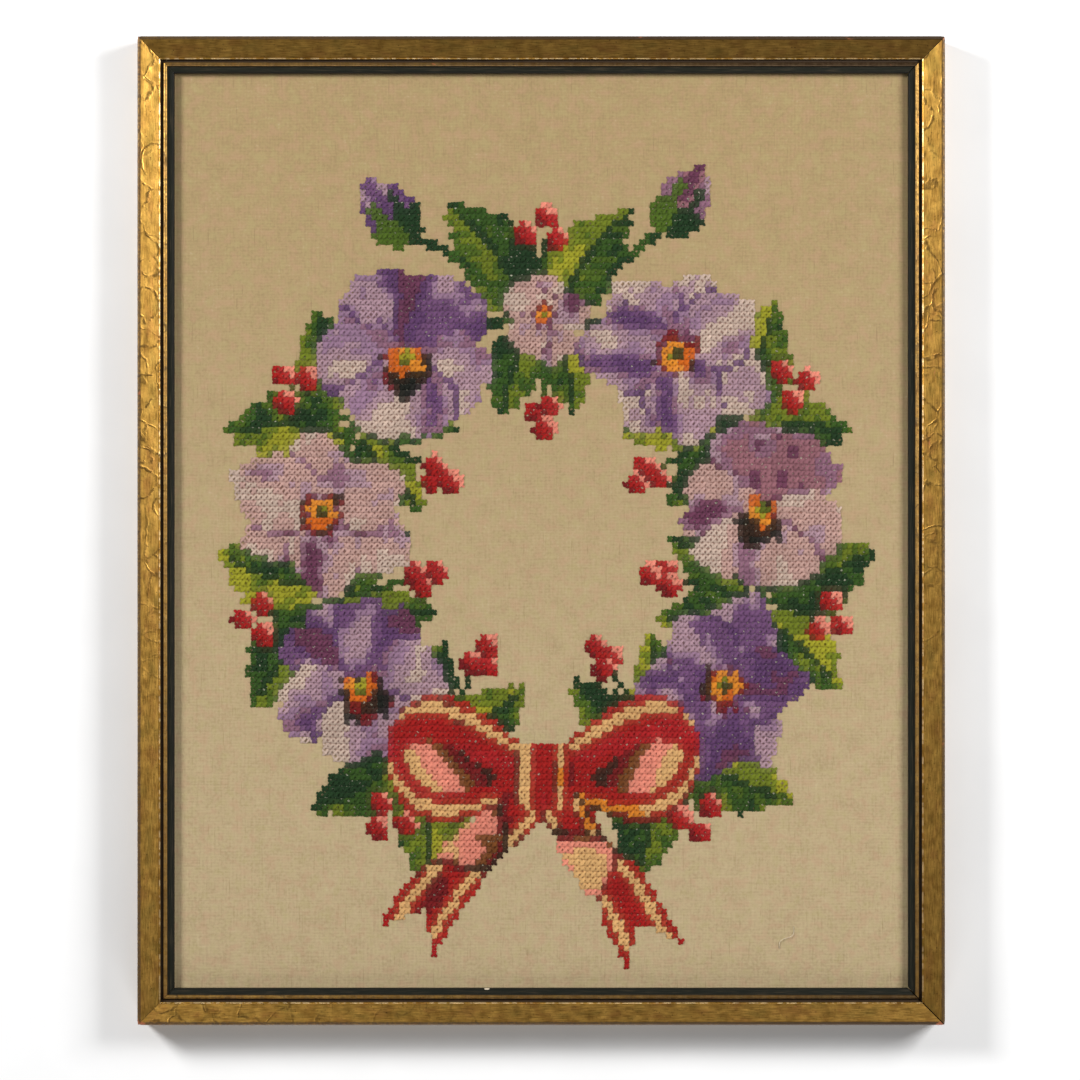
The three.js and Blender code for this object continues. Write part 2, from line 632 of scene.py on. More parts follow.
@dataclass(frozen=True)
class YarnFinish:
    """Stranded cotton: its colour comes with the stitch, and fine fibres twist along it, with painted shade
    between them and a faint painted sheen on them.
    """

    strand: float = 0.42
    twist: float = 1.5
    # painted shade between the fibres
    hollow: Rgb = (0.0, 0.0, 0.0)
    # a faint painted sheen on the fibres
    shine: Rgb = (1.0, 0.95, 0.85)

    def material(self) -> bpy.types.Material:
        """Builds the finish.

        The map runs along the yarn and round it. Slanted waves of both make the twisted strands,
        and long thin noise makes the fibres, with painted shade between them and a faint painted sheen on
        them.

        Returns:
            The material.
        """
        g = Graph("stranded_cotton")
        at = g.uv()
        strand = g.math("SINE", (at[1] / self.strand + at[0] / self.twist) * (2 * np.pi))
        fibre = g.noise(at, (1.3, 7.0, 1.0), 3.0)
        colour = g.layers(
            g.attribute("yarn", "Color"),
            # painted shade between the fibres, and a faint painted sheen on them
            (fibre.ease(0.5, 0.25, 0.0, 0.30), self.hollow),
            (fibre.ease(0.55, 0.8, 0.0, 0.05), self.shine),
        )
        return g.dress(
            Base_Color=colour,
            Roughness=0.82,
            Specular_IOR_Level=0.13,
            Sheen_Weight=0.08,
            Sheen_Roughness=0.45,
            Normal=g.relief(strand * 0.035 + fibre * 0.10, 0.8),
        )


class Side(Enum):
    """The frame's four sides: the node of each rail and its turn from the top, anticlockwise."""

    TOP = ("rail_top", 0.0)
    LEFT = ("rail_left", 90.0)
    BOTTOM = ("rail_bottom", 180.0)
    RIGHT = ("rail_right", 270.0)

    @property
    def node(self) -> str:
        """The rail's node in the frame."""
        return self.value[0]

    @property
    def turn(self) -> float:
        """The rail's turn about Z, in radians."""
        return float(np.radians(self.value[1]))


class Zone(Enum):
    """The finishes along the moulding's section, in the order of the rail's material slots."""

    GILT = 0
    LIP = 1
    WOOD = 2


def line(start: Pair, end: Pair, steps: int) -> np.ndarray:
    """Evenly spaced points from start up to, but without, end."""
    share = np.arange(steps)[:, None] / steps
    return np.array(start) + (np.array(end) - np.array(start)) * share


def arc(centre: Pair, radius: float, first: float, last: float, steps: int) -> np.ndarray:
    """Points of a circle from angle first up to, but without, angle last, in degrees."""
    angle = np.radians(first + (last - first) * np.arange(steps) / steps)
    return np.array(centre) + radius * np.stack([np.cos(angle), np.sin(angle)], -1)


@dataclass(frozen=True)
class Stroke:
    """One stretch of the moulding's section: its points, its finish, its dirt with painted shade, and its
    edge wear with a painted highlight on the gilt and painted shade on the lip.
    """

    points: np.ndarray
    zone: Zone
    patina: float = 0.0
    rub: float = 0.0


@dataclass(frozen=True)
class MouldingSection:
    """The moulding's section, measured in from its outside edge and up from its back."""

    width: float
    height: float
    outer_round: float = 1.2
    face_width: float = 11.2
    face_fall: float = 3.4
    ridge_radius: float = 0.4
    groove_width: float = 1.4
    groove_floor: float = 14.4
    bead_radius: float = 1.1
    bead_height: float = 14.9
    lip_shoulder: float = 14.4
    lip_height: float = 14.0
    lip_round: float = 0.8
    rabbet_width: float = 6.0
    rabbet_ceiling: float = 10.3

    def strokes(self) -> list[Stroke]:
        """The outline from the back, through the rabbet, the lip, the bead and the face, to the outside.

        Returns:
            The closed outline's strokes, anticlockwise from the back's outside corner.
        """
        gilt, black, wood = Zone.GILT, Zone.LIP, Zone.WOOD
        rabbet = self.width - self.rabbet_width
        ceiling = self.rabbet_ceiling
        lip = (self.width - self.lip_round, self.lip_height - self.lip_round)
        groove = self.face_width + 2 * self.ridge_radius
        middle = groove + self.groove_width + self.bead_radius
        bead = (middle, self.bead_height)
        bead_in, bead_out = middle + self.bead_radius, middle - self.bead_radius
        foot = self.height - self.face_fall
        ridge = (self.face_width + self.ridge_radius, foot)
        arris = (self.outer_round, self.height - self.outer_round)
        upright = 90 - np.degrees(np.arctan2(self.face_fall, self.face_width - self.outer_round))
        outer = arc(arris, self.outer_round, upright, 180, 5)
        # Each stroke's dirt share also paints shade into the groove, the bead's sides and the outer edge; its
        # wear share paints a highlight on the ridge and shade on the lip's arris.
        return [
            Stroke(line((0, 0), (rabbet, 0), 3), wood),
            Stroke(line((rabbet, 0), (rabbet, ceiling), 3), wood),
            Stroke(line((rabbet, ceiling), (self.width, ceiling), 3), wood),
            Stroke(line((self.width, ceiling), (self.width, lip[1]), 3), black),
            Stroke(arc(lip, self.lip_round, 0, 90, 5), black, rub=1.0),
            Stroke(line((lip[0], self.lip_height), (bead_in, self.lip_shoulder), 4), black),
            Stroke(line((bead_in, self.lip_shoulder), (bead_in, self.bead_height), 1), gilt, patina=1.0),
            Stroke(arc(bead, self.bead_radius, 0, 25, 1), gilt, patina=0.7),
            Stroke(arc(bead, self.bead_radius, 25, 155, 7), gilt, patina=0.56, rub=0.10),
            Stroke(arc(bead, self.bead_radius, 155, 180, 1), gilt, patina=0.8),
            Stroke(line((bead_out, self.bead_height), (bead_out, self.groove_floor), 1), gilt, patina=1.2),
            Stroke(line((bead_out, self.groove_floor), (groove, self.groove_floor), 3), gilt, patina=1.2),
            Stroke(line((groove, self.groove_floor), (groove, foot), 3), gilt, patina=1.1),
            Stroke(arc(ridge, self.ridge_radius, 0, 180, 6), gilt, rub=1.0),
            Stroke(line((self.face_width, foot), outer[0], 14), gilt),
            Stroke(outer, gilt, patina=0.74),
            Stroke(line((0, arris[1]), (0, 0), 6), gilt, patina=0.64),
        ]


@dataclass
class MouldingRail:
    """One mitred length of the gilt moulding."""

    side: Side
    section: MouldingSection
    outside_length: float
    half_across: float
    mitre_gaps: tuple[float, float]
    crackle: tuple[float, float]  # at both ends, as the joints, kept between 0 and 1
    # painted shade at both ends of the rail, where less lamplight reflects from it
    tarnish: tuple[float, float]
    chip: float = np.inf  # where the lip's paint is chipped to the ground, along the rail
    step: float = 2.0
    corner_round: float = 1.5
    worn_corner: float = 7.0  # how far in from the rail's end its leaf is worn
    wobble: float = 0.05
    sway_size: Pair = (21.0, 4.0)  # of the lumps that move it in and out, along it and round it
    lift_size: Pair = (9.0, 3.0)  # and of those that move it up and down
    map_shift: float = 700.0  # from one rail's map to the next one's

    def surface(self) -> Surface:
        """Carries the section along the rail.

        Each point of the section runs between the two mitres, which cut in from the rail's end by
        as much as the point lies in from the outside edge, plus that joint's own gap. Slow noise
        moves the points out and in a little, and the outside corners are rounded in plan.

        Returns:
            The closed rail in its place.
        """
        strokes = self.section.strokes()
        inset, height = np.concatenate([s.points for s in strokes]).T
        patina, rub, zone = np.repeat(
            [(s.patina, s.rub, s.zone.value) for s in strokes], [len(s.points) for s in strokes], 0
        ).T
        count = len(inset)
        reach = np.concatenate(([0], np.cumsum(np.hypot(np.diff(inset), np.diff(height)))))
        steps = int(round(self.outside_length / self.step))
        half = self.outside_length / 2
        start = -half + inset + self.mitre_gaps[0]
        end = half - inset - self.mitre_gaps[1]
        along = start + (end - start) * np.linspace(0, 1, steps + 1)[:, None]
        mapped = along + self.map_shift * (1 + list(Side).index(self.side))

        raised = height > self.section.rabbet_ceiling + 1
        sway = value_noise(mapped / self.sway_size[0], reach / self.sway_size[1], 3) - 0.5
        lift = value_noise(mapped / self.lift_size[0], reach / self.lift_size[1], 4) - 0.5
        deep = inset + 2 * self.wobble * sway * raised
        high = height + 2 * self.wobble * lift * raised
        past = np.clip(np.abs(along) - (half - self.corner_round), 0, self.corner_round)
        plan = self.corner_round - np.sqrt(self.corner_round**2 - past**2)
        deep = np.maximum(deep, np.minimum(plan, self.corner_round * 0.3))
        across = self.half_across - deep
        cosine, sine = np.cos(self.side.turn), np.sin(self.side.turn)
        points = np.stack([along * cosine - across * sine, along * sine + across * cosine, high], -1)

        corners, sizes = tube_faces(1, steps + 1, count)
        following = (np.arange(count) + 1) % count
        next_reach = np.concatenate((reach[1:], [reach[-1] + height[-1]]))
        u = np.stack([mapped[:-1], mapped[:-1, following], mapped[1:, following], mapped[1:]], -1)
        v = np.broadcast_to(np.stack([reach, next_reach, next_reach, reach], -1), u.shape)
        cap_uv = np.tile(np.stack([inset, height], -1), (2, 1))
        end_distance = half - np.abs(along) + inset
        return Surface(
            name="moulding" + self.side.node.removeprefix("rail"),
            points=points.reshape(-1, 3),
            corners=corners,
            face_sizes=sizes,
            face_finish=np.concatenate([np.tile(zone, steps), [Zone.WOOD.value] * 2]),
            corner_uv=np.concatenate([np.stack([u, v], -1).reshape(-1, 2), cap_uv]),
            point_values={
                "patina": np.tile(patina, steps + 1),
                "rub": np.tile(rub, steps + 1),
                "crackle": np.repeat(np.linspace(*self.crackle, steps + 1).clip(0, 1), count),
                # painted shade along the rail
                "tarnish": np.repeat(np.linspace(*self.tarnish, steps + 1), count),
                "chip": np.clip(1 - np.abs(along - self.chip) / self.step, 0, 1).ravel(),
                "corner": np.clip(1 - end_distance / self.worn_corner, 0, 1).ravel(),
            },
        )

    def make(self, finishes: Sequence[bpy.types.Material]) -> None:
        """Builds the rail, which stands for its node.

        Args:
            finishes: The gilt, the lip's paint and the bare wood.
        """
        piece = self.surface().piece(finishes)
        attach(piece, BODY)
        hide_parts(self.side.node)
        report(piece)


@dataclass
class GiltFrame:
    """The four rails, with most wrinkles near the top left corner and most painted shade at the bottom right.
    """

    section: MouldingSection
    width: float
    height: float
    # The joints' gaps, from the top left corner anticlockwise
    upper_left: float = 0.06
    lower_left: float = 0.12
    lower_right: float = 0.40
    upper_right: float = 0.24

    def rails(self) -> tuple[MouldingRail, ...]:
        """The rails, each with its joints' gaps, and its wrinkles and painted shade at the same two ends.

        Returns:
            The rails from the top anticlockwise.
        """
        lying = (self.section, self.width, self.height / 2)
        standing = (self.section, self.height, self.width / 2)
        top = (self.upper_left, self.upper_right)
        left = (self.lower_left, self.upper_left)
        bottom = (self.lower_right, self.lower_left)
        right = (self.upper_right, self.lower_right)
        # painted shade: the top rail darkest, and the side rails darker towards the foot, where less
        # lamplight reflects
        return (
            MouldingRail(Side.TOP, *lying, top, crackle=(0.2, 0.0), tarnish=(0.24, 0.52)),
            MouldingRail(Side.LEFT, *standing, left, crackle=(-0.8, 2.5), tarnish=(0.20, 0.0)),
            MouldingRail(Side.BOTTOM, *lying, bottom, crackle=(-0.3, 1.0), tarnish=(0.42, 0.12), chip=29.0),
            MouldingRail(Side.RIGHT, *standing, right, crackle=(3.0, -1.2), tarnish=(0.0, 0.26)),
        )

    def make(self) -> None:
        """Builds the rails in their three finishes."""
        finishes = [GiltFinish().material(), LipFinish().material(), BARE_WOOD.material()]
        for rail in self.rails():
            rail.make(finishes)


@dataclass
class BackingBoard:
    """The hardboard behind the linen, which keeps the shape of its own node."""

    node: str = "backing_board"

    def make(self) -> None:
        """Gives the board its finish."""
        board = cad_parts[self.node]
        board.data.materials.clear()
        board.data.materials.append(HARDBOARD.material())


class Skein(Enum):
    """The groups of shades that are sewn as one piece each."""

    PALE = "stitches_pale"
    VIOLET = "stitches_violet"
    ROSE = "stitches_rose"
    DEEP_GREEN = "stitches_deep_green"
    LIGHT_GREEN = "stitches_light_green"
    WARM = "stitches_warm"


class Yarn(Enum):
    """The yarn's shades, as they look in daylight, with the skein that each belongs to."""

    OFF_WHITE = (0.73, 0.64, 0.58, Skein.PALE)
    PALE_PINK = (0.7, 0.56, 0.52, Skein.PALE)
    PALE_LILAC = (0.63, 0.51, 0.55, Skein.PALE)
    LAVENDER = (0.54, 0.42, 0.51, Skein.VIOLET)
    VIOLET = (0.39, 0.26, 0.4, Skein.VIOLET)
    PURPLE = (0.33, 0.21, 0.36, Skein.VIOLET)
    MAUVE = (0.5, 0.35, 0.42, Skein.ROSE)
    ROSE = (0.53, 0.35, 0.38, Skein.ROSE)
    PLUM = (0.37, 0.19, 0.28, Skein.ROSE)
    BLACK_GREEN = (0.065, 0.08, 0.055, Skein.DEEP_GREEN)
    DARK_GREEN = (0.09, 0.19, 0.085, Skein.DEEP_GREEN)
    GREEN = (0.18, 0.29, 0.085, Skein.DEEP_GREEN)
    GRASS = (0.26, 0.345, 0.085, Skein.LIGHT_GREEN)
    YELLOW_GREEN = (0.385, 0.43, 0.095, Skein.LIGHT_GREEN)
    LIME = (0.56, 0.55, 0.13, Skein.LIGHT_GREEN)
    ORANGE = (0.74, 0.35, 0.07, Skein.WARM)
    GOLD = (0.81, 0.5, 0.14, Skein.WARM)
    RED = (0.575, 0.07, 0.06, Skein.WARM)
    CRIMSON = (0.6, 0.09, 0.1, Skein.WARM)
    MAROON = (0.4, 0.06, 0.07, Skein.WARM)
    DARK_BROWN = (0.18, 0.11, 0.065, Skein.WARM)
    BROWN = (0.41, 0.235, 0.085, Skein.WARM)
    TAN = (0.79, 0.47, 0.125, Skein.WARM)
    PEACH = (0.79, 0.62, 0.4, Skein.WARM)
    SALMON = (0.83, 0.5, 0.42, Skein.WARM)

    @property
    def code(self) -> int:
        """The shade's number on the chart."""
        return list(Yarn).index(self)


COLUMNS = 134  # stitches across the sight opening
ROWS = 150  # and up it
BARE = -1  # a place on the chart with no stitch
HOLE_STITCHES = 4  # that share a hole in the middle of the work
YARN_CREASE = 75.0  # degrees, so that a leg looks round but its cut ends don't
VIOLETS = (Yarn.PALE_LILAC, Yarn.LAVENDER, Yarn.VIOLET, Yarn.VIOLET, Yarn.PURPLE, Yarn.PURPLE, Yarn.PLUM)
LILACS = (Yarn.OFF_WHITE, *(Yarn.PALE_LILAC,) * 2, Yarn.LAVENDER, Yarn.MAUVE, Yarn.VIOLET, Yarn.PURPLE)
PALES = (Yarn.OFF_WHITE, *(Yarn.PALE_PINK,) * 3, Yarn.PALE_LILAC, Yarn.MAUVE, Yarn.PLUM)
ROSES = (Yarn.PALE_LILAC, Yarn.MAUVE, Yarn.MAUVE, Yarn.ROSE, Yarn.ROSE, Yarn.PLUM, Yarn.PLUM)
BRIGHT_LEAF = (Yarn.LIME, Yarn.YELLOW_GREEN, Yarn.YELLOW_GREEN, Yarn.GRASS, Yarn.GREEN, Yarn.DARK_GREEN)
DEEP_LEAF = (Yarn.YELLOW_GREEN, Yarn.GRASS, Yarn.GREEN, Yarn.GREEN, Yarn.DARK_GREEN, Yarn.DARK_GREEN)
STEM = (Yarn.DARK_GREEN, Yarn.GREEN)
RIBBON_FACE = (Yarn.CRIMSON, Yarn.RED, Yarn.RED, Yarn.MAROON, Yarn.DARK_BROWN)
RIBBON_BACK = (Yarn.PEACH, Yarn.SALMON, Yarn.SALMON, Yarn.BROWN, Yarn.MAROON, Yarn.DARK_BROWN)
STRIPE = (Yarn.TAN, Yarn.PEACH)
BERRY = (Yarn.SALMON, Yarn.CRIMSON, Yarn.RED, Yarn.MAROON)


def linear_shades() -> np.ndarray:
    """The yarn's shades in linear light by the usual screen curve, in the order of their numbers."""
    shown = np.array([yarn.value[:3] for yarn in Yarn])
    return np.where(shown <= 0.04045, shown / 12.92, ((shown + 0.055) / 1.055) ** 2.4)


def pick(value: np.ndarray, palette: Sequence[Yarn]) -> np.ndarray:
    """Chart numbers from a palette that runs evenly from value 0 to value 1.

    Args:
        value: A number for each stitch. Those past either end take the palette's end.
        palette: The shades, in the order of their tones.

    Returns:
        The numbers of the shades.
    """
    codes = np.array([yarn.code for yarn in palette])
    step = np.nan_to_num(value * len(palette))
    return codes[np.clip(step, 0, len(palette) - 1).astype(int)]


@dataclass
class Chart:
    """The counted chart: a grid of stitches, each bare or of one shade."""

    columns: int
    rows: int
    pitch_x: float
    pitch_y: float

    def __post_init__(self) -> None:
        """Works out the middle of each stitch, with the chart's own middle at the origin."""
        across, up = self.lines()
        self.x, self.y = np.meshgrid((across[1:] + across[:-1]) / 2, (up[1:] + up[:-1]) / 2)
        self.shade = np.full(self.x.shape, BARE)

    def lines(self) -> tuple[np.ndarray, np.ndarray]:
        """The lines of holes: across from left to right, and up from the top down."""
        across = (np.arange(self.columns + 1) - self.columns / 2) * self.pitch_x
        return across, (self.rows / 2 - np.arange(self.rows + 1)) * self.pitch_y

    def lay(self, where: np.ndarray, shades: np.ndarray | int) -> None:
        """Sews over the stitches where the mask holds."""
        self.shade = np.where(where, shades, self.shade)

    def around_holes(self) -> tuple[np.ndarray, np.ndarray]:
        """The mean linear colour of the sewn stitches round each hole.

        Returns:
            The colours, black where nothing is sewn, and the number of sewn stitches.
        """
        codes = np.pad(self.shade, 1, constant_values=BARE)
        corners = np.stack([codes[:-1, :-1], codes[:-1, 1:], codes[1:, :-1], codes[1:, 1:]])
        sewn = (corners != BARE)[..., None]
        total = (linear_shades()[corners] * sewn).sum(0)
        return total / np.maximum(sewn.sum(0), 1), sewn.sum(0)[..., 0]

    def local(self, x: float, y: float, turn: float) -> tuple[np.ndarray, np.ndarray]:
        """Distances from a motif's root, by a turn of the axes.

        Args:
            x: The motif's root across the chart.
            y: The root up the chart.
            turn: The way that it points, in degrees clockwise from up.

        Returns:
            The distances along the motif and across it, to its right.
        """
        angle = np.radians(turn)
        dx, dy = self.x - x, self.y - y
        return dx * np.sin(angle) + dy * np.cos(angle), dx * np.cos(angle) - dy * np.sin(angle)

    def fleck(self, seed: int, size: float = 5.0) -> np.ndarray:
        """Noise over the chart with lumps of the given size, which frays the edges of the shades."""
        return value_noise(self.x / size, self.y / size, seed)


@dataclass(frozen=True)
class Motif:
    """A long shape on the chart. It points turn degrees clockwise from up, from its root at x, y."""

    x: float
    y: float
    turn: float
    length: float
    width: float
    palette: Sequence[Yarn]
    seed: int

    def place(self, chart: Chart) -> tuple[np.ndarray, np.ndarray, np.ndarray, np.ndarray]:
        """Where each stitch lies on the motif.

        Args:
            chart: The chart.

        Returns:
            The distances along and across the motif, the share of its length that lies behind,
            and that share kept between 0 and 1.
        """
        along, across = chart.local(self.x, self.y, self.turn)
        share = along / self.length
        return along, across, share, np.clip(share, 0, 1)


@dataclass(frozen=True)
class Petal(Motif):
    """One petal, with its root in the flower's middle."""

    tone: float = 0.0
    belly: float = 1.35  # the higher, the nearer its widest place is to the tip
    tip: float = 0.5  # 0.5 is a round tip and 1 a pointed one
    ruffle: float = 0.12
    notch: float = 0.0
    rib: float = 0.0

    def sew(self, chart: Chart, flower: np.ndarray) -> np.ndarray:
        """Sews the petal over those before it, with a dark line where it lies on them.

        Its half width is a power of a sine along it, ruffled by noise. The shade is a sum of a
        broad fold noise, a patch noise, a fleck, a darker root and a paler or darker rim.

        Args:
            chart: The chart.
            flower: Where the flower already has petals.

        Returns:
            Where the flower has petals now.
        """
        along, across, p, inside = self.place(chart)
        q = across / (self.width / 2)
        side = np.where(q > 0, 3.0, 11.0)
        wave = value_noise(along / 11 + side, side + self.seed, self.seed + 1) - 0.5
        half = np.sin(np.pi * inside**self.belly) ** self.tip * (1 + 2 * self.ruffle * wave)
        end = 1 + 1.5 * self.ruffle * (value_noise(across / 8 + 20, 3.5, self.seed + 2) - 0.5)
        end = end - self.notch * np.exp(-((q / 0.24) ** 2))
        petal = (p > 0) & (p < end) & (np.abs(q) < half)
        shadow = (p > 0.05) & (p < end + 0.06) & (np.abs(q) < half + 0.13) & flower & ~petal
        fold = value_noise(q * (1.2 - 0.5 * inside) * 1.9 + self.seed * 1.7, p * 1.5 + 4, self.seed + 3)
        patch = value_noise(chart.x / 17 + self.seed, chart.y / 15, self.seed + 4)
        fleck = chart.fleck(self.seed + 5)
        rim = value_noise(across / 14 + 7, along / 14, self.seed + 6)
        value = 0.44 + self.tone + 1.15 * (fold - 0.5) + 0.55 * (patch - 0.5) + 0.28 * (fleck - 0.5)
        value += 0.22 * (0.5 - inside)
        value -= np.where((p > 0.84) | (np.abs(q) > half - 0.24), 0.45 * (rim - 0.30), 0)
        value -= self.rib * (np.abs(q) < 0.16) * (1 - 0.5 * inside)
        chart.lay(shadow, pick(0.80 + 0.35 * (fleck - 0.4), self.palette))
        chart.lay(petal, pick(value, self.palette))
        return flower | petal


@dataclass(frozen=True)
class Pansy:
    """A pansy: two dark upper petals behind two side ones and a broad lower one, with a face."""

    x: float
    y: float
    radius: float
    turn: float
    upper: Sequence[Yarn]
    lower: Sequence[Yarn]
    seed: int

    def sew(self, chart: Chart) -> None:
        """Sews the petals from the back to the front, then the face.

        Args:
            chart: The chart.
        """
        flower = np.zeros(chart.shade.shape, bool)
        # Each row: turn, length and width against the radius, palette, tone, notch
        rows = (
            (-30, 1.10, 1.05, self.upper, 0.16, 0.05),
            (32, 1.12, 1.02, self.upper, 0.04, 0.05),
            (-99, 1.04, 0.94, self.lower, 0.08, 0.04),
            (101, 1.02, 0.96, self.lower, -0.04, 0.04),
            (180, 0.94, 1.42, self.lower, -0.10, 0.15),
        )
        for number, (turn, length, width, palette, tone, notch) in enumerate(rows):
            where = (self.x, self.y, self.turn + turn, self.radius * length, self.radius * width)
            look = (palette, self.seed * 10 + number, tone)
            flower = Petal(*where, *look, ruffle=0.20, notch=notch).sew(chart, flower)
        self.face(chart)

    def face(self, chart: Chart) -> None:
        """Sews a blotch of dark rays towards the lower petals, an orange flame and a green eye.

        Args:
            chart: The chart.
        """
        along, across = chart.local(self.x, self.y, self.turn + 180)
        reach = np.hypot(along, across) / self.radius
        angle = np.arctan2(across, along)
        fleck = chart.fleck(self.seed + 8)
        ray = value_noise(angle * 4.2 + 12, 1.5, self.seed + 7)
        low = 0.10 * np.cos(angle) + 0.05 * np.cos(2 * angle)
        blotch = reach < 0.17 + low + 0.24 * ray * (np.abs(angle) < 2.2)
        chart.lay(blotch, pick(fleck, (Yarn.BLACK_GREEN, Yarn.BLACK_GREEN, Yarn.DARK_BROWN, Yarn.MAROON)))
        flame = value_noise(angle * 3.6 + 30, 5.5, self.seed + 9)
        orange = (reach > 0.07) & (reach < 0.10 + 0.17 * flame) & (np.abs(angle) < 2.6)
        chart.lay(orange, pick(fleck, (Yarn.GOLD, Yarn.ORANGE, Yarn.ORANGE)))
        chart.lay(reach < 0.085, pick(fleck, (Yarn.LIME, Yarn.GRASS, Yarn.GREEN)))


@dataclass(frozen=True)
class Bloom:
    """A bloom of even petals with a rib down each and a tuft in the middle."""

    x: float
    y: float
    radius: float
    turn: float
    petals: int
    palette: Sequence[Yarn]
    seed: int
    width: float = 0.78
    belly: float = 0.86
    tip: float = 0.78

    def sew(self, chart: Chart) -> None:
        """Sews every other petal, then the ones between them, then the tuft.

        Args:
            chart: The chart.
        """
        flower = np.zeros(chart.shade.shape, bool)
        for number in [*range(0, self.petals, 2), *range(1, self.petals, 2)]:
            turn = self.turn + number * 360 / self.petals + 8 * np.sin(self.seed + number * 2.3)
            length = self.radius * (1 + 0.09 * np.sin(self.seed * 2.1 + number * 1.9))
            tone = 0.12 * np.sin(self.seed * 1.3 + number * 2.1)
            where = (self.x, self.y, turn, length, self.width * length)
            look = (self.palette, self.seed * 10 + number, tone, self.belly, self.tip)
            flower = Petal(*where, *look, rib=0.25).sew(chart, flower)
        self.tuft(chart)

    def tuft(self, chart: Chart) -> None:
        """Sews dark rays, shorter orange rays over them and a green middle.

        Args:
            chart: The chart.
        """
        dx, dy = chart.x - self.x, chart.y - self.y
        reach = np.hypot(dx, dy) / self.radius
        angle = np.arctan2(dx, dy)
        fleck = chart.fleck(self.seed + 8)
        dark = value_noise(angle * 4.5 + 15, 2.5, self.seed + 3)
        light = value_noise(angle * 4.0 + 40, 8.5, self.seed + 5)
        chart.lay(reach < 0.13 + 0.20 * dark, pick(fleck, (Yarn.PLUM, Yarn.MAROON, Yarn.DARK_BROWN)))
        chart.lay(reach < 0.10 + 0.13 * light, pick(fleck, (Yarn.GOLD, Yarn.ORANGE)))
        chart.lay(reach < 0.075, pick(fleck, (Yarn.YELLOW_GREEN, Yarn.DARK_GREEN)))


@dataclass(frozen=True)
class Leaf(Motif):
    """A pointed leaf with a toothed edge, a midrib, and one half darker than the other."""

    bend: float  # how far the midrib bows to its right, against its length, twice over

    def sew(self, chart: Chart) -> None:
        """Sews the leaf: its half width is a power of a sine along a bent midrib, plus teeth.

        Args:
            chart: The chart.
        """
        along, across, p, inside = self.place(chart)
        across = across - self.bend * self.length * inside * (1 - inside) * 2
        q = across / (self.width / 2)
        tooth = 0.20 * ((along / 11 + 0.3 * np.sign(q)) % 1.0 - 0.5)
        half = 1.12 * np.sin(np.pi * inside**0.72) ** 0.85 + tooth
        leaf = (p > 0) & (p < 1) & (np.abs(q) < half)
        vein = np.sin((along - 0.9 * np.abs(across)) / 11 * 2 * np.pi)
        patch = chart.fleck(self.seed, 10.0)
        chart.lay(leaf, pick(0.45 + 0.26 * np.sign(q) + 0.12 * vein + 0.75 * (patch - 0.5), self.palette))
        chart.lay(leaf & (np.abs(across) < 1.7) & (p < 0.86), self.palette[-1].code)


@dataclass(frozen=True)
class Stem:
    """A stem along a bent line from one point to another, drawn towards a third between them."""

    start: Pair
    pull: Pair
    end: Pair
    width: float
    samples: int = 80

    def sew(self, chart: Chart) -> None:
        """Sews every stitch that lies within half the width of the curve.

        Args:
            chart: The chart.
        """
        t = np.linspace(0, 1, self.samples)[:, None, None]
        ends = zip(self.start, self.pull, self.end)
        x, y = ((1 - t) ** 2 * a + 2 * t * (1 - t) * b + t**2 * c for a, b, c in ends)
        near = np.hypot(chart.x - x, chart.y - y).min(0) < self.width / 2
        chart.lay(near, pick(chart.fleck(77, 8.0), STEM))


@dataclass(frozen=True)
class Bud(Motif):
    """A closed bud in its green cup."""

    def sew(self, chart: Chart) -> None:
        """Sews the streaked bud, then the cup with its two points.

        Args:
            chart: The chart.
        """
        _, across, p, inside = self.place(chart)
        q = across / (self.width / 2)
        half = 1.1 * np.sin(np.pi * (0.10 + 0.90 * inside) ** 0.85) ** 0.7
        streak = value_noise(q * 2.2 + 9, p * 1.3, self.seed)
        bud = (p > 0) & (p < 1) & (np.abs(q) < half)
        chart.lay(bud, pick(0.25 + 0.9 * (streak - 0.3) + 0.2 * (1 - p), self.palette))
        points = 0.34 * (np.abs(np.abs(q) - 0.45) < 0.22)
        cup = (p > -0.10) & (p < 0.34 + points) & (np.abs(q) < half + 0.12)
        chart.lay(cup, pick(np.where(q > 0, 0.8, 0.3), (Yarn.GRASS, Yarn.GREEN, Yarn.DARK_GREEN)))


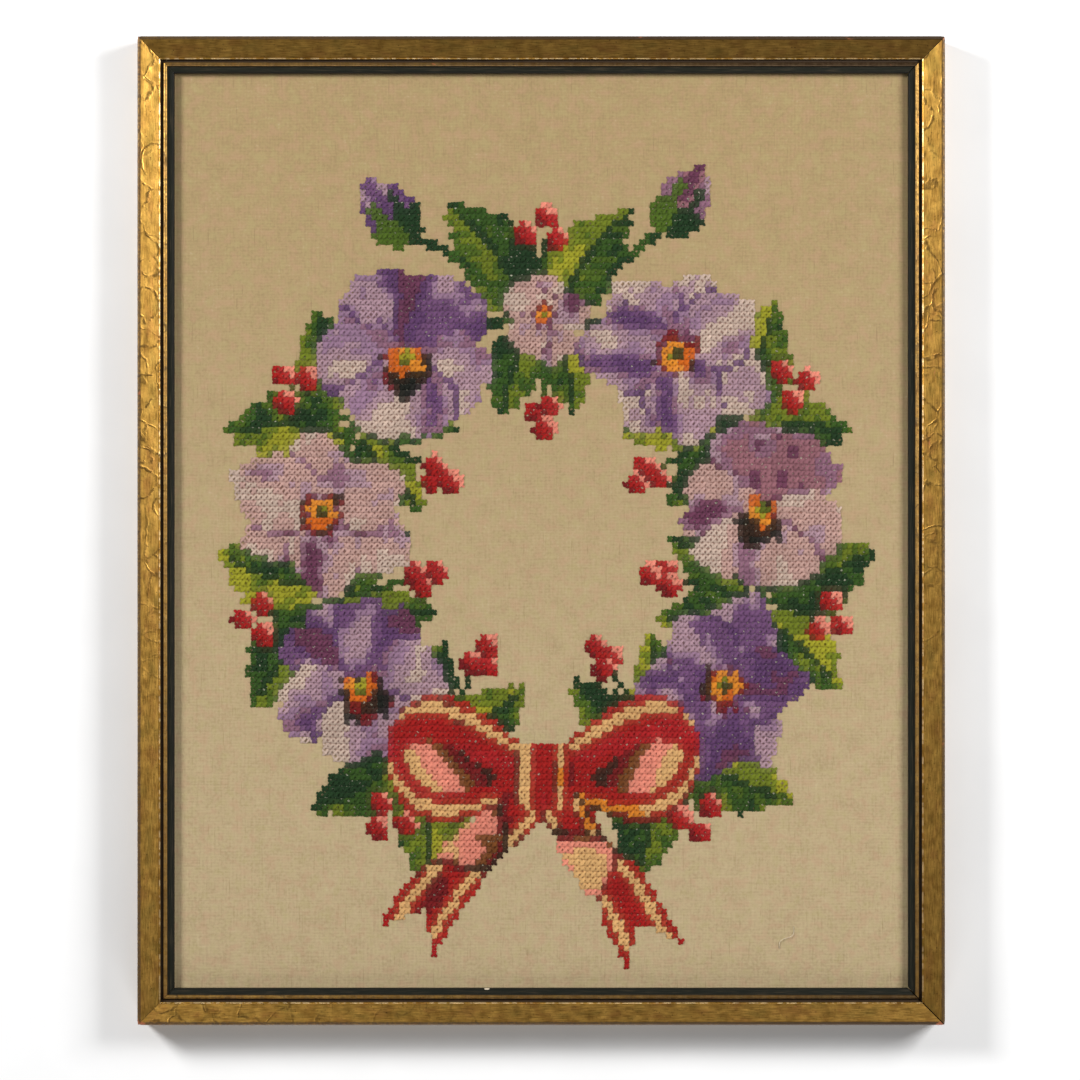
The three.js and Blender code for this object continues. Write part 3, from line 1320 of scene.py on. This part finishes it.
@dataclass(frozen=True)
class Ribbon:
    """A tail of ribbon along a curve of four points, turning over once and cut to a fork."""

    points: Sequence[Pair]
    phase: float
    seed: int
    width: float = 25.0
    end_width: float = 34.0
    turns: float = 0.9  # of the cosine that says which side shows
    fork: float = 14.0
    samples: int = 120

    def sew(self, chart: Chart) -> None:
        """Sews the face and the back of the ribbon.

        Each stitch takes its place on the ribbon from the nearest point of the curve. A cosine
        along the ribbon says which side shows, and the ribbon is narrow where it turns over.

        Args:
            chart: The chart.
        """
        t = np.linspace(0, 1, self.samples)[:, None]
        a, b, c, d = (np.array(point, float) for point in self.points)
        path = (1 - t) ** 3 * a + 3 * t * (1 - t) ** 2 * b + 3 * t**2 * (1 - t) * c + t**3 * d
        heading = np.gradient(path, axis=0)
        heading /= np.linalg.norm(heading, axis=1)[:, None]
        x, y = path.T[..., None, None]
        heading_x, heading_y = heading.T[..., None, None]
        dx, dy = chart.x - x, chart.y - y
        near = np.hypot(dx, dy).argmin(0)
        cell = (near, *np.indices(near.shape))
        side = (dy * heading_x - dx * heading_y)[cell]
        ahead = (dx * heading_x + dy * heading_y)[cell]
        share = near / (self.samples - 1)
        length = np.linalg.norm(np.diff(path, axis=0), axis=1).sum()
        width = self.width + (self.end_width - self.width) * share
        q = side / (0.5 * width)
        facing = 0.55 + np.cos(2 * np.pi * (share * self.turns + self.phase)) + 0.5 * q
        uncut = (1 - share) * length > self.fork * (1 - np.abs(q))
        narrow = 1 - 0.22 * np.exp(-((facing / 0.35) ** 2))
        ribbon = (np.abs(q) < narrow) & (np.abs(ahead) < 3) & uncut
        fold = value_noise(q * 1.5 + 5, share * length / 22, self.seed)
        fleck = 0.2 * (chart.fleck(self.seed + 1) - 0.5)
        face = pick(0.38 + 0.8 * (fold - 0.5) + 0.6 * np.exp(-np.abs(facing) / 0.3) + fleck, RIBBON_FACE)
        back = pick(0.20 + 0.8 * (fold - 0.4) + 0.7 * np.exp(-np.abs(facing) / 0.16) + fleck, RIBBON_BACK)
        chart.lay(ribbon, np.where(facing > 0, face, back))
        stripe = ribbon & (facing > 0.12) & (np.abs(np.abs(q) - 0.62) < 0.14)
        chart.lay(stripe, pick(1.3 - fold, STRIPE))


@dataclass(frozen=True)
class BowLoop(Motif):
    """A loop of the bow: a fat drop that droops from the knot, with a view into its hollow."""

    droop: float = 0.32  # sideways, against its length, and negative to the other side

    def sew(self, chart: Chart) -> None:
        """Sews the loop's face, the stripe inside its edge and the hollow.

        The half width is a power of a sine along the loop, which droops by a parabola. The
        hollow is a smaller drop of the same kind.

        Args:
            chart: The chart.
        """
        _, across, p, inside = self.place(chart)
        across = across * np.sign(self.droop) + abs(self.droop) * self.length * inside * (1 - inside)
        q = across / (self.width / 2)
        half = 1.02 * np.sin(np.pi * inside**1.55) ** 0.50 + 0.20 * (1 - inside) ** 2
        loop = (p > 0) & (p < 1) & (np.abs(q) < half)
        rank = q / np.maximum(half, 0.05)
        fold = value_noise(rank * 1.6 + 4, p * 1.2 + 3, self.seed)
        fleck = chart.fleck(self.seed + 1)
        crease = 0.22 * np.cos(rank * 7 + 2 * p) * (1 - inside)
        chart.lay(loop, pick(0.36 + 0.75 * (fold - 0.5) + crease + 0.2 * (fleck - 0.5), self.palette))
        stripe = loop & (np.abs(np.abs(rank) - 0.78) < 0.085) & (p > 0.14)
        chart.lay(stripe, pick(1.3 - fold, STRIPE))
        deep = np.clip((p - 0.20) / 0.66, 0, 1)
        hollow = (deep > 0) & (deep < 1) & (np.abs(q + 0.12) < 0.40 * np.sin(np.pi * deep**1.5) ** 0.6)
        chart.lay(hollow, pick(1.05 - 0.95 * deep + 0.35 * (fold - 0.5) + 0.9 * (q + 0.12), RIBBON_BACK))


@dataclass(frozen=True)
class Spray:
    """Leaves and berries that fill the ring between two blooms, outside it and inside it."""

    turn: float
    bright: bool
    seed: int
    reach: float = 1.0

    def sew(self, wreath: "Wreath", chart: Chart) -> None:
        """Sews two outer leaves, two inner leaves and a cluster of berries by each pair.

        Args:
            wreath: The wreath, which gives the places.
            chart: The chart.
        """
        first, second = (BRIGHT_LEAF, DEEP_LEAF) if self.bright else (DEEP_LEAF, BRIGHT_LEAF)
        nudge = np.random.default_rng(self.seed).uniform(-1, 1, 4)
        # Each row: turn from the spray's, distance out, direction, length, width, palette, bend
        rows = (
            (2, -4, 158 + 8 * nudge[0], 50, 25, second, -0.12),
            (-2, -4, 200 + 8 * nudge[1], 54, 27, first, 0.12),
            (4, 4, 30 + 6 * nudge[2], 68 * self.reach, 35, second, -0.14),
            (-4, 4, -32 + 6 * nudge[3], 74 * self.reach, 37, first, 0.14),
        )
        for number, (offset, out, point, length, width, palette, bend) in enumerate(rows):
            x, y = wreath.ring(self.turn + offset, out)
            Leaf(x, y, self.turn + point, length, width, palette, self.seed * 5 + number, bend).sew(chart)
        for out in (46 * self.reach, -50):
            stalk = (self.turn - 1, 0.5 * out)
            head = (self.turn + 1, out)
            Stem(wreath.ring(self.turn, 0), wreath.ring(*stalk), wreath.ring(*head), 3.4).sew(chart)
            for offset, extra in ((-3.4, 0), (2.6, -3), (0.6, 9)):
                wreath.berry(chart, *wreath.ring(self.turn + offset, out + np.sign(out) * extra))


@dataclass
class Wreath:
    """The design: an oval wreath of pansies and other blooms, tied with a striped bow at its foot."""

    x: float = 1.0
    y: float = -8.0
    half_width: float = 118.0
    half_height: float = 122.0
    berry_radius: float = 6.4

    def ring(self, turn: float, out: float = 0.0) -> tuple[float, float]:
        """The point out from the wreath's line in the direction turn, in degrees clockwise from up."""
        across, up = np.sin(np.radians(turn)), np.cos(np.radians(turn))
        return self.x + (self.half_width + out) * across, self.y + (self.half_height + out) * up

    def berry(self, chart: Chart, x: float, y: float) -> None:
        """Sews a round berry, lightest at its upper right."""
        dx, dy = (chart.x - x) / self.berry_radius, (chart.y - y) / self.berry_radius
        chart.lay(np.hypot(dx, dy) < 1, pick(0.5 - 0.36 * (dx + dy), BERRY))

    def bud(
        self, chart: Chart, start: Pair, end: Pair, bud: Sequence[float], palette: Sequence[Yarn], seed: int
    ) -> None:
        """Sews a bud on its stem.

        Args:
            chart: The chart.
            start: The stem's root, as turn and distance out from the ring.
            end: The stem's head, given the same way.
            bud: The bud's direction, length and width.
            palette: The bud's shades.
            seed: Chooses the bud's streaks.
        """
        between = ((start[0] + end[0]) / 2, (start[1] + end[1]) / 2 + 8)
        Stem(self.ring(*start), self.ring(*between), self.ring(*end), 4.6).sew(chart)
        Bud(*self.ring(*end), *bud, palette, seed).sew(chart)

    def bow(self, chart: Chart) -> None:
        """Sews the bow's two tails, its two loops and its knot.

        Args:
            chart: The chart.
        """
        x, y = self.x, self.y - self.half_height - 2
        left = ((x - 4, y - 4), (x - 30, y - 46), (x - 44, y - 36), (x - 74, y - 90))
        right = ((x + 4, y - 4), (x + 26, y - 52), (x + 32, y - 38), (x + 60, y - 98))
        Ribbon(left, phase=0.12, seed=51).sew(chart)
        Ribbon(right, phase=0.10, seed=52).sew(chart)
        BowLoop(x - 6, y + 2, -75, 80, 64, RIBBON_FACE, 61).sew(chart)
        BowLoop(x + 6, y + 2, 75, 80, 64, RIBBON_FACE, 62, droop=-0.32).sew(chart)
        across, up = (chart.x - x) / 17, (chart.y - y) / 19
        knot = np.abs(across) ** 3 + np.abs(up) ** 3 < 1
        fold = value_noise(across * 2.4 + 8, up * 0.8 + 3, 41)
        chart.lay(knot, pick(0.30 + 0.8 * (fold - 0.5) + 0.42 * across**2, RIBBON_FACE))
        chart.lay(knot & (np.abs(np.abs(across) - 0.58) < 0.12), pick(1.3 - fold, STRIPE))

    def sew(self, chart: Chart) -> None:
        """Sews the whole design, from the stems at the back to the bow in front.

        Args:
            chart: The chart.
        """
        stretch = 30
        for turn in range(-150, 150, stretch):
            Stem(self.ring(turn), self.ring(turn + stretch / 2, 6), self.ring(turn + stretch), 6.5).sew(chart)
        for number, turn in enumerate((-150, -104, -58, 0, 58, 104, 150)):
            reach = 0.85 if abs(turn) in (58, 104) else 1.0
            Spray(turn, number % 2 == 0, number + 1, reach).sew(self, chart)
        self.bud(chart, (-12, 20), (-24, 60), (-38, 38, 26), VIOLETS, 31)
        self.bud(chart, (13, 20), (22, 62), (30, 38, 25), ROSES, 32)
        Bloom(*self.ring(0, 2), 25, 10, 5, PALES, 17, width=0.95, belly=1.2, tip=0.5).sew(chart)
        Bloom(*self.ring(127, 4), 50, 25, 6, VIOLETS, 4).sew(chart)
        Pansy(*self.ring(-127, 4), 45, -14, VIOLETS, LILACS, 6).sew(chart)
        Pansy(*self.ring(81, 2), 44, 12, ROSES, PALES, 13).sew(chart)
        Bloom(*self.ring(-82, 2), 50, 0, 6, PALES, 5).sew(chart)
        Pansy(*self.ring(-37, 4), 47, 8, VIOLETS, LILACS, 9).sew(chart)
        Bloom(*self.ring(36, 4), 52, 12, 7, LILACS, 2).sew(chart)
        self.bow(chart)


@dataclass
class LinenSheet:
    """The linen ground, stretched flat over the board, with a grid line along each row of holes."""

    low: Vector
    high: Vector
    chart: Chart
    depth: float = 0.16  # of the deepest hollow
    swell_size: Pair = (46.0, 52.0)
    pucker_size: Pair = (11.0, 12.0)

    def height(self, x: np.ndarray, y: np.ndarray) -> np.ndarray:
        """The cloth's upper side: its level less a slow swell and a finer pucker, both noise.

        Args:
            x: Places across the cloth.
            y: Places up the cloth.

        Returns:
            The heights there.
        """
        swell = value_noise(x / self.swell_size[0], y / self.swell_size[1], 21)
        pucker = value_noise(x / self.pucker_size[0], y / self.pucker_size[1], 22)
        return self.high.z - self.depth * (0.7 * swell + 0.3 * pucker)

    def dye(self) -> np.ndarray:
        """The yarn's colour round each hole, which the fuzz lends to the cloth between the stitches.

        Returns:
            The colour and 1 where all four stitches round the hole are sewn or else 0, from the
            foot up, for the holes and for the sheet's edge round them.
        """
        colour, sewn = self.chart.around_holes()
        grid = np.concatenate([colour, sewn[..., None] == HOLE_STITCHES], -1)
        return np.pad(grid[::-1], ((1, 1), (1, 1), (0, 0)), mode="edge")

    def surface(self) -> Surface:
        """Two grids of the same points, the upper one on the cloth's height, joined round the edge.

        Returns:
            The closed sheet in its place.
        """
        hole_x, hole_y = self.chart.lines()
        across = np.concatenate([[self.low.x], hole_x, [self.high.x]])
        up = np.concatenate([[self.low.y], hole_y[::-1], [self.high.y]])
        columns, rows = len(across) - 1, len(up) - 1
        x, y = np.meshgrid(across, up)
        upper = np.stack([x, y, self.height(x, y)], -1).reshape(-1, 3)
        under = np.stack([x, y, np.full(x.shape, self.low.z)], -1).reshape(-1, 3)
        wide = columns + 1
        first = (np.arange(rows)[:, None] * wide + np.arange(columns)).ravel()
        top = np.stack([first, first + 1, first + wide + 1, first + wide], -1)
        bottom = top[:, ::-1] + len(upper)
        bottom_row, top_row = np.arange(wide), rows * wide + np.arange(wide)[::-1]
        right, left = np.arange(rows + 1) * wide + columns, np.arange(rows + 1)[::-1] * wide
        rim = np.concatenate([bottom_row[:-1], right[:-1], top_row[:-1], left[:-1]])
        rim_next = np.roll(rim, -1)
        edge = np.stack([rim, rim + len(upper), rim_next + len(upper), rim_next], -1)
        quads = np.concatenate([top, bottom, edge])
        points = np.concatenate([upper, under])
        return Surface(
            name="linen_sheet",
            points=points,
            corners=quads.ravel(),
            face_sizes=np.full(len(quads), 4),
            corner_uv=points[quads.ravel(), :2],
            point_values={"dye": np.tile(self.dye().reshape(-1, 4), (2, 1))},
        )

    def make(self, finish: bpy.types.Material) -> None:
        """Builds the sheet, which stands for the linen's node.

        Args:
            finish: The linen's material.
        """
        piece = self.surface().piece([finish])
        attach(piece, BODY)
        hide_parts("linen_ground")
        size = (self.high - self.low) * METRES
        report(piece)


def at_corners(grid: np.ndarray, row: np.ndarray, column: np.ndarray) -> list[np.ndarray]:
    """The grid's values at a place's upper left, upper right, lower left and lower right hole."""
    return [grid[row + down, column + right] for down in (0, 1) for right in (0, 1)]


@dataclass
class Embroidery:
    """The cross stitches: two legs of yarn over each counted place of the chart."""

    chart: Chart
    linen: LinenSheet
    leg_width: float = 1.58
    pale_width: float = 1.30
    leg_height: float = 0.58
    girth: float = 3.6  # of the yarn, round a leg
    sides: int = 5
    fuzz: float = 0.22  # share of the neighbours' colour in a stitch
    under_tone: float = 0.94  # painted shade on the leg that is sewn first, which lies lower
    # painted light on the leg that crosses over, which lies higher
    over_tone: float = 1.03
    seed: int = 7
    # How far chance goes: in the holes' places, a leg's bow and lift, and shares of sizes and tones
    hole_chance: float = 0.21
    hole_drift: float = 0.8
    drift_sizes: Pair = (40.0, 30.0)
    bow_chance: float = 0.20
    lift_chance: float = 0.05
    width_chance: float = 0.11
    height_chance: float = 0.08
    tone_chance: float = 0.045
    tone_drift: float = 0.20
    tone_size: Pair = (14.0, 12.0)
    map_spread: float = 500.0
    # Along a leg: the place, its share of the full width and height, and how high the middle rides
    places: tuple[float, ...] = (0.0, 0.2, 0.5, 0.8, 1.0)
    widths: tuple[float, ...] = (0.62, 1.0, 1.04, 1.0, 0.62)
    thickness: tuple[float, ...] = (0.65, 1.0, 0.9, 1.0, 0.65)
    under_lift: tuple[float, ...] = (-0.20, 0.22, 0.26, 0.22, -0.20)
    over_lift: tuple[float, ...] = (-0.20, 0.36, 0.70, 0.36, -0.20)

    def holes(self) -> np.ndarray:
        """The places where the yarn goes through the linen, each moved a little by chance and slow noise.

        Returns:
            The places as row, column and coordinate.
        """
        x, y = np.meshgrid(*self.chart.lines())
        chance = np.random.default_rng(self.seed)
        long, short = self.drift_sizes
        shift = chance.normal(0, self.hole_chance, x.shape)
        x = x + shift + self.hole_drift * (value_noise(x / long, y / short, 91) - 0.5)
        shift = chance.normal(0, self.hole_chance, y.shape)
        y = y + shift + self.hole_drift * (value_noise(x / short, y / long, 92) - 0.5)
        return np.stack([x, y], -1)

    def colours(self, row: np.ndarray, column: np.ndarray, chance: np.random.Generator) -> np.ndarray:
        """Linear colours for the stitches.

        Each is its own shade with a share of the mean colour round its four holes, for the fuzz of
        its neighbours, times a tone that slow noise and chance make a little lighter or darker.

        Args:
            row: The stitches' rows on the chart.
            column: Their columns.
            chance: The source of the small differences.

        Returns:
            Red, green and blue for each stitch.
        """
        chart = self.chart
        near = sum(at_corners(chart.around_holes()[0], row, column)) / HOLE_STITCHES
        own = linear_shades()[chart.shade[row, column]]
        x, y = chart.x[row, column], chart.y[row, column]
        slow = value_noise(x / self.tone_size[0], y / self.tone_size[1], 93)
        tone = 1 + chance.normal(0, self.tone_chance, len(row)) + self.tone_drift * (slow - 0.5)
        return (own + self.fuzz * (near - own)) * tone[:, None]

    def legs(
        self,
        start: np.ndarray,
        end: np.ndarray,
        lift: Sequence[float],
        width: float,
        chance: np.random.Generator,
    ) -> tuple[np.ndarray, np.ndarray]:
        """Flattened tubes that arch from hole to hole.

        A leg's middle line runs straight but for a small sideways bow, a sine along it, and rides
        at its lifts over the cloth. Round it goes an ellipse with flat steps, narrow at both ends.

        Args:
            start: The holes that the legs come out of.
            end: The holes that they go into.
            lift: How high the middle line rides at each place.
            width: The yarn's full width.
            chance: The source of the small differences.

        Returns:
            The points as leg, place, side and coordinate, and the map as leg, place, side and two.
        """

        def share(spread: float) -> np.ndarray:
            """A number round 1 for each leg, by chance."""
            return 1 + chance.normal(0, spread, (count, 1))

        count = len(start)
        t = np.array(self.places)[None, :, None]
        run = end - start
        length = np.linalg.norm(run, axis=1)
        sideways = np.stack([-run[:, 1], run[:, 0]], -1) / length[:, None]
        bow = chance.normal(0, self.bow_chance, count)[:, None, None] * np.sin(np.pi * t)
        middle = start[:, None] + run[:, None] * t + sideways[:, None] * bow
        cloth = self.linen.height(middle[..., 0], middle[..., 1])
        level = cloth + np.array(lift) + chance.normal(0, self.lift_chance, (count, 1))
        angle = np.radians(90) + 2 * np.pi * np.arange(self.sides) / self.sides
        wide = 0.5 * width * share(self.width_chance) * np.array(self.widths)
        tall = 0.5 * self.leg_height * share(self.height_chance) * np.array(self.thickness)
        out = wide[..., None] * np.cos(angle)
        flat = middle[:, :, None] + sideways[:, None, None] * out[..., None]
        height = level[..., None] + tall[..., None] * np.sin(angle)
        points = np.concatenate([flat, height[..., None]], -1)
        along = np.broadcast_to(length[:, None, None] * t, height.shape)
        around = np.broadcast_to(np.arange(self.sides) * self.girth / self.sides, height.shape)
        along = along + chance.uniform(0, self.map_spread, (count, 1, 1))
        around = around + chance.uniform(0, self.map_spread, (count, 1, 1))
        return points, np.stack([along, around], -1)

    def surface(
        self, skein: Skein, row: np.ndarray, column: np.ndarray, chance: np.random.Generator
    ) -> Surface:
        """Both legs of the stitches of one skein.

        Args:
            skein: The skein that the piece is named for.
            row: The stitches' rows on the chart.
            column: Their columns.
            chance: The source of the small differences.

        Returns:
            All the legs as one surface of closed tubes.
        """
        colours = self.colours(row, column, chance)
        top_left, top_right, low_left, low_right = at_corners(self.holes(), row, column)
        width = self.pale_width if skein is Skein.PALE else self.leg_width
        under, under_map = self.legs(top_left, low_right, self.under_lift, width, chance)
        over, over_map = self.legs(low_left, top_right, self.over_lift, width, chance)
        points = np.concatenate([under, over])
        count, rings, sides = points.shape[:3]
        corners, sizes = tube_faces(count, rings, sides)
        # the lower leg painted darker and the upper one lighter, as shade and light
        rgb = np.concatenate([colours * self.under_tone, colours * self.over_tone])
        rgba = np.concatenate([rgb, np.ones((count, 1))], -1)
        return Surface(
            name=skein.value,
            points=points.reshape(-1, 3),
            corners=corners,
            face_sizes=sizes,
            corner_uv=np.concatenate([under_map, over_map]).reshape(-1, 2)[corners],
            point_values={"yarn": np.repeat(rgba, rings * sides, 0)},
            crease_degrees=YARN_CREASE,
        )

    def make(self, finish: bpy.types.Material) -> None:
        """Sews each skein's stitches as one piece.

        Args:
            finish: The yarn's material.
        """
        skeins = np.array([list(Skein).index(yarn.value[3]) for yarn in Yarn])
        for number, skein in enumerate(Skein):
            row, column = np.nonzero((self.chart.shade != BARE) & (skeins[self.chart.shade] == number))
            chance = np.random.default_rng(self.seed + number + 1)
            piece = self.surface(skein, row, column, chance).piece([finish])
            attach(piece, BODY)
            report(piece)


@dataclass
class LooseThread:
    """A short pale end of thread that lies on the linen near its foot."""

    linen: LinenSheet
    start: Pair = (128.0, -224.5)
    end: Pair = (136.0, -213.0)
    radius: float = 0.16
    clearance: float = 0.05
    arch: float = 0.5  # how high its middle stands off the linen
    steps: int = 18
    sides: int = 5
    shade: Rgb = (0.62, 0.54, 0.40)

    def surface(self) -> Surface:
        """A round tube along an S, which is the line from start to end plus two sines across it.

        Returns:
            The closed thread in its place.
        """
        t = np.linspace(0, 1, self.steps)
        start, run = np.array(self.start), np.array(self.end) - np.array(self.start)
        across = np.array([-run[1], run[0]]) / np.hypot(*run)
        sway = 1.3 * np.sin(2 * np.pi * t) + 0.5 * np.sin(7 * t)
        middle = start + run * t[:, None] + across * sway[:, None]
        cloth = self.linen.height(middle[:, 0], middle[:, 1])
        level = cloth + self.radius + self.clearance + self.arch * np.sin(np.pi * t) ** 2
        angle = 2 * np.pi * np.arange(self.sides) / self.sides
        flat = middle[:, None] + across * (self.radius * np.cos(angle))[:, None]
        height = level[:, None] + self.radius * np.sin(angle)
        points = np.concatenate([flat, height[..., None]], -1)
        side = np.arange(self.sides)
        ring = np.arange(self.steps - 1)[:, None] * self.sides
        following = (side + 1) % self.sides
        next_ring = ring + self.sides
        quads = np.stack([ring + side, next_ring + side, next_ring + following, ring + following], -1)
        corners = np.concatenate([quads.ravel(), side, ((self.steps - 1) * self.sides + side)[::-1]])
        along = np.broadcast_to(10 * t[:, None], height.shape)
        around = np.broadcast_to(angle * self.radius, height.shape)
        return Surface(
            name="loose_thread",
            points=points.reshape(-1, 3),
            corners=corners,
            face_sizes=np.array([4] * (quads.size // 4) + [self.sides] * 2),
            corner_uv=np.stack([along, around], -1).reshape(-1, 2)[corners],
            point_values={"yarn": np.tile([*self.shade, 1.0], (self.steps * self.sides, 1))},
            crease_degrees=YARN_CREASE,
        )

    def make(self, finish: bpy.types.Material) -> None:
        """Builds the thread.

        Args:
            finish: The yarn's material.
        """
        piece = self.surface().piece([finish])
        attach(piece, BODY)
        report(piece)


@dataclass(frozen=True)
class Lamp:
    """A soft square light that points at the picture."""

    name: str
    place: Sequence[float]
    size: float  # metres
    power: float  # watts

    def light(self) -> None:
        """Hangs the light, turned to the middle of the picture's back."""
        data = bpy.data.lights.new(self.name, "AREA")
        data.shape = "SQUARE"
        data.size = self.size
        data.energy = self.power
        lamp = bpy.data.objects.new(self.name, data)
        lamp.location = Vector(self.place)
        lamp.rotation_euler = (-lamp.location).to_track_quat("-Z", "Y").to_euler()
        bpy.context.scene.collection.objects.link(lamp)


@dataclass
class Studio:
    """The pale floor, the soft lights and the camera straight above the picture, placed in metres."""

    face_height: float  # of the frame's highest point, which the photograph's scale holds for
    photo_size: float = 1080.0  # pixels
    picture_centre: Pair = (541.2, 530.6)  # pixels from the photograph's upper left corner
    photo_scale: float = 0.5346  # millimetres in a pixel
    camera_height: float = 1.9
    sensor: float = 36.0  # the sensor's width in millimetres
    floor_size: float = 14.0
    floor_drop: float = 0.0004  # below the frame's back
    ambient: float = 0.105
    lamps: tuple[Lamp, ...] = (
        Lamp("left_lamp", (-1.28, 0.68, 0.94), 0.42, 30.5),
        Lamp("right_lamp", (1.16, 0.50, 0.94), 0.60, 25.5),
        Lamp("fill_lamp", (0.10, -1.55, 0.42), 0.80, 14.0),
    )

    def floor(self) -> None:
        """Lays a plain pale floor under the picture."""
        half, drop = 0.5 * self.floor_size / METRES, self.floor_drop / METRES
        points = np.array([(x * half, y * half, -drop) for x, y in ((-1, -1), (1, -1), (1, 1), (-1, 1))])
        g = Graph("floor")
        shade = g.noise(g.place(), 1 / 60.0, 3.0).ease(0.35, 0.65)
        colour = g.mix(shade, (0.80, 0.80, 0.80), (0.82, 0.82, 0.82))
        finish = g.dress(Base_Color=colour, Roughness=0.9, Specular_IOR_Level=0.2)
        piece = Surface("floor", points, np.arange(4), np.array([4])).piece([finish])

    def camera(self) -> None:
        """Sets the camera above the picture, so that its middle falls where the photograph has it.

        The lens's length is to half of the sensor as the camera's distance is to half of the view.
        """
        data = bpy.data.cameras.new("camera")
        data.sensor_width = self.sensor
        distance = self.camera_height - self.face_height * METRES
        half_view = 0.5 * self.photo_size * self.photo_scale * METRES
        data.lens = 0.5 * self.sensor * distance / half_view
        camera = bpy.data.objects.new("camera", data)
        right = (0.5 * self.photo_size - self.picture_centre[0]) * self.photo_scale * METRES
        up = (self.picture_centre[1] - 0.5 * self.photo_size) * self.photo_scale * METRES
        camera.location = (right, up, self.camera_height)
        bpy.context.scene.collection.objects.link(camera)
        bpy.context.scene.camera = camera

    def world(self) -> None:
        """Lights the room evenly and dimly."""
        world = bpy.data.worlds.new("room")
        world.use_nodes = True
        background = world.node_tree.nodes["Background"]
        background.inputs["Color"].default_value = (1.0, 1.0, 1.0, 1.0)
        background.inputs["Strength"].default_value = self.ambient
        bpy.context.scene.world = world

    def make(self) -> None:
        """Builds the floor, the camera, the lamps and the room."""
        self.floor()
        self.camera()
        self.world()
        for lamp in self.lamps:
            lamp.light()
        bpy.context.scene.view_settings.view_transform = "Standard"


def millimetres(node: str) -> tuple[Vector, Vector]:
    """A node's lowest and highest corners in millimetres."""
    low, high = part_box(node)
    return low / METRES, high / METRES


def main() -> None:
    """Builds the studio, the frame, the board, the linen and the stitches, in that order."""
    logging.basicConfig(level=logging.INFO, format="%(name)s %(message)s")
    low, high = cad_box[0] / METRES, cad_box[1] / METRES
    Studio(high.z).make()

    rail_low, rail_high = millimetres(Side.TOP.node)
    section = MouldingSection(width=rail_high.y - rail_low.y, height=rail_high.z - rail_low.z)
    width, height = high.x - low.x, high.y - low.y
    GiltFrame(section, width, height).make()
    BackingBoard().make()

    sight_width, sight_height = width - 2 * section.width, height - 2 * section.width
    chart = Chart(COLUMNS, ROWS, pitch_x=sight_width / COLUMNS, pitch_y=sight_height / ROWS)
    Wreath().sew(chart)
    log.info("%d stitches", int((chart.shade != BARE).sum()))
    linen = LinenSheet(*millimetres("linen_ground"), chart)
    linen.make(LinenFinish().material())
    cotton = YarnFinish().material()
    Embroidery(chart, linen).make(cotton)
    LooseThread(linen).make(cotton)


if __name__ == "__main__":
    main()
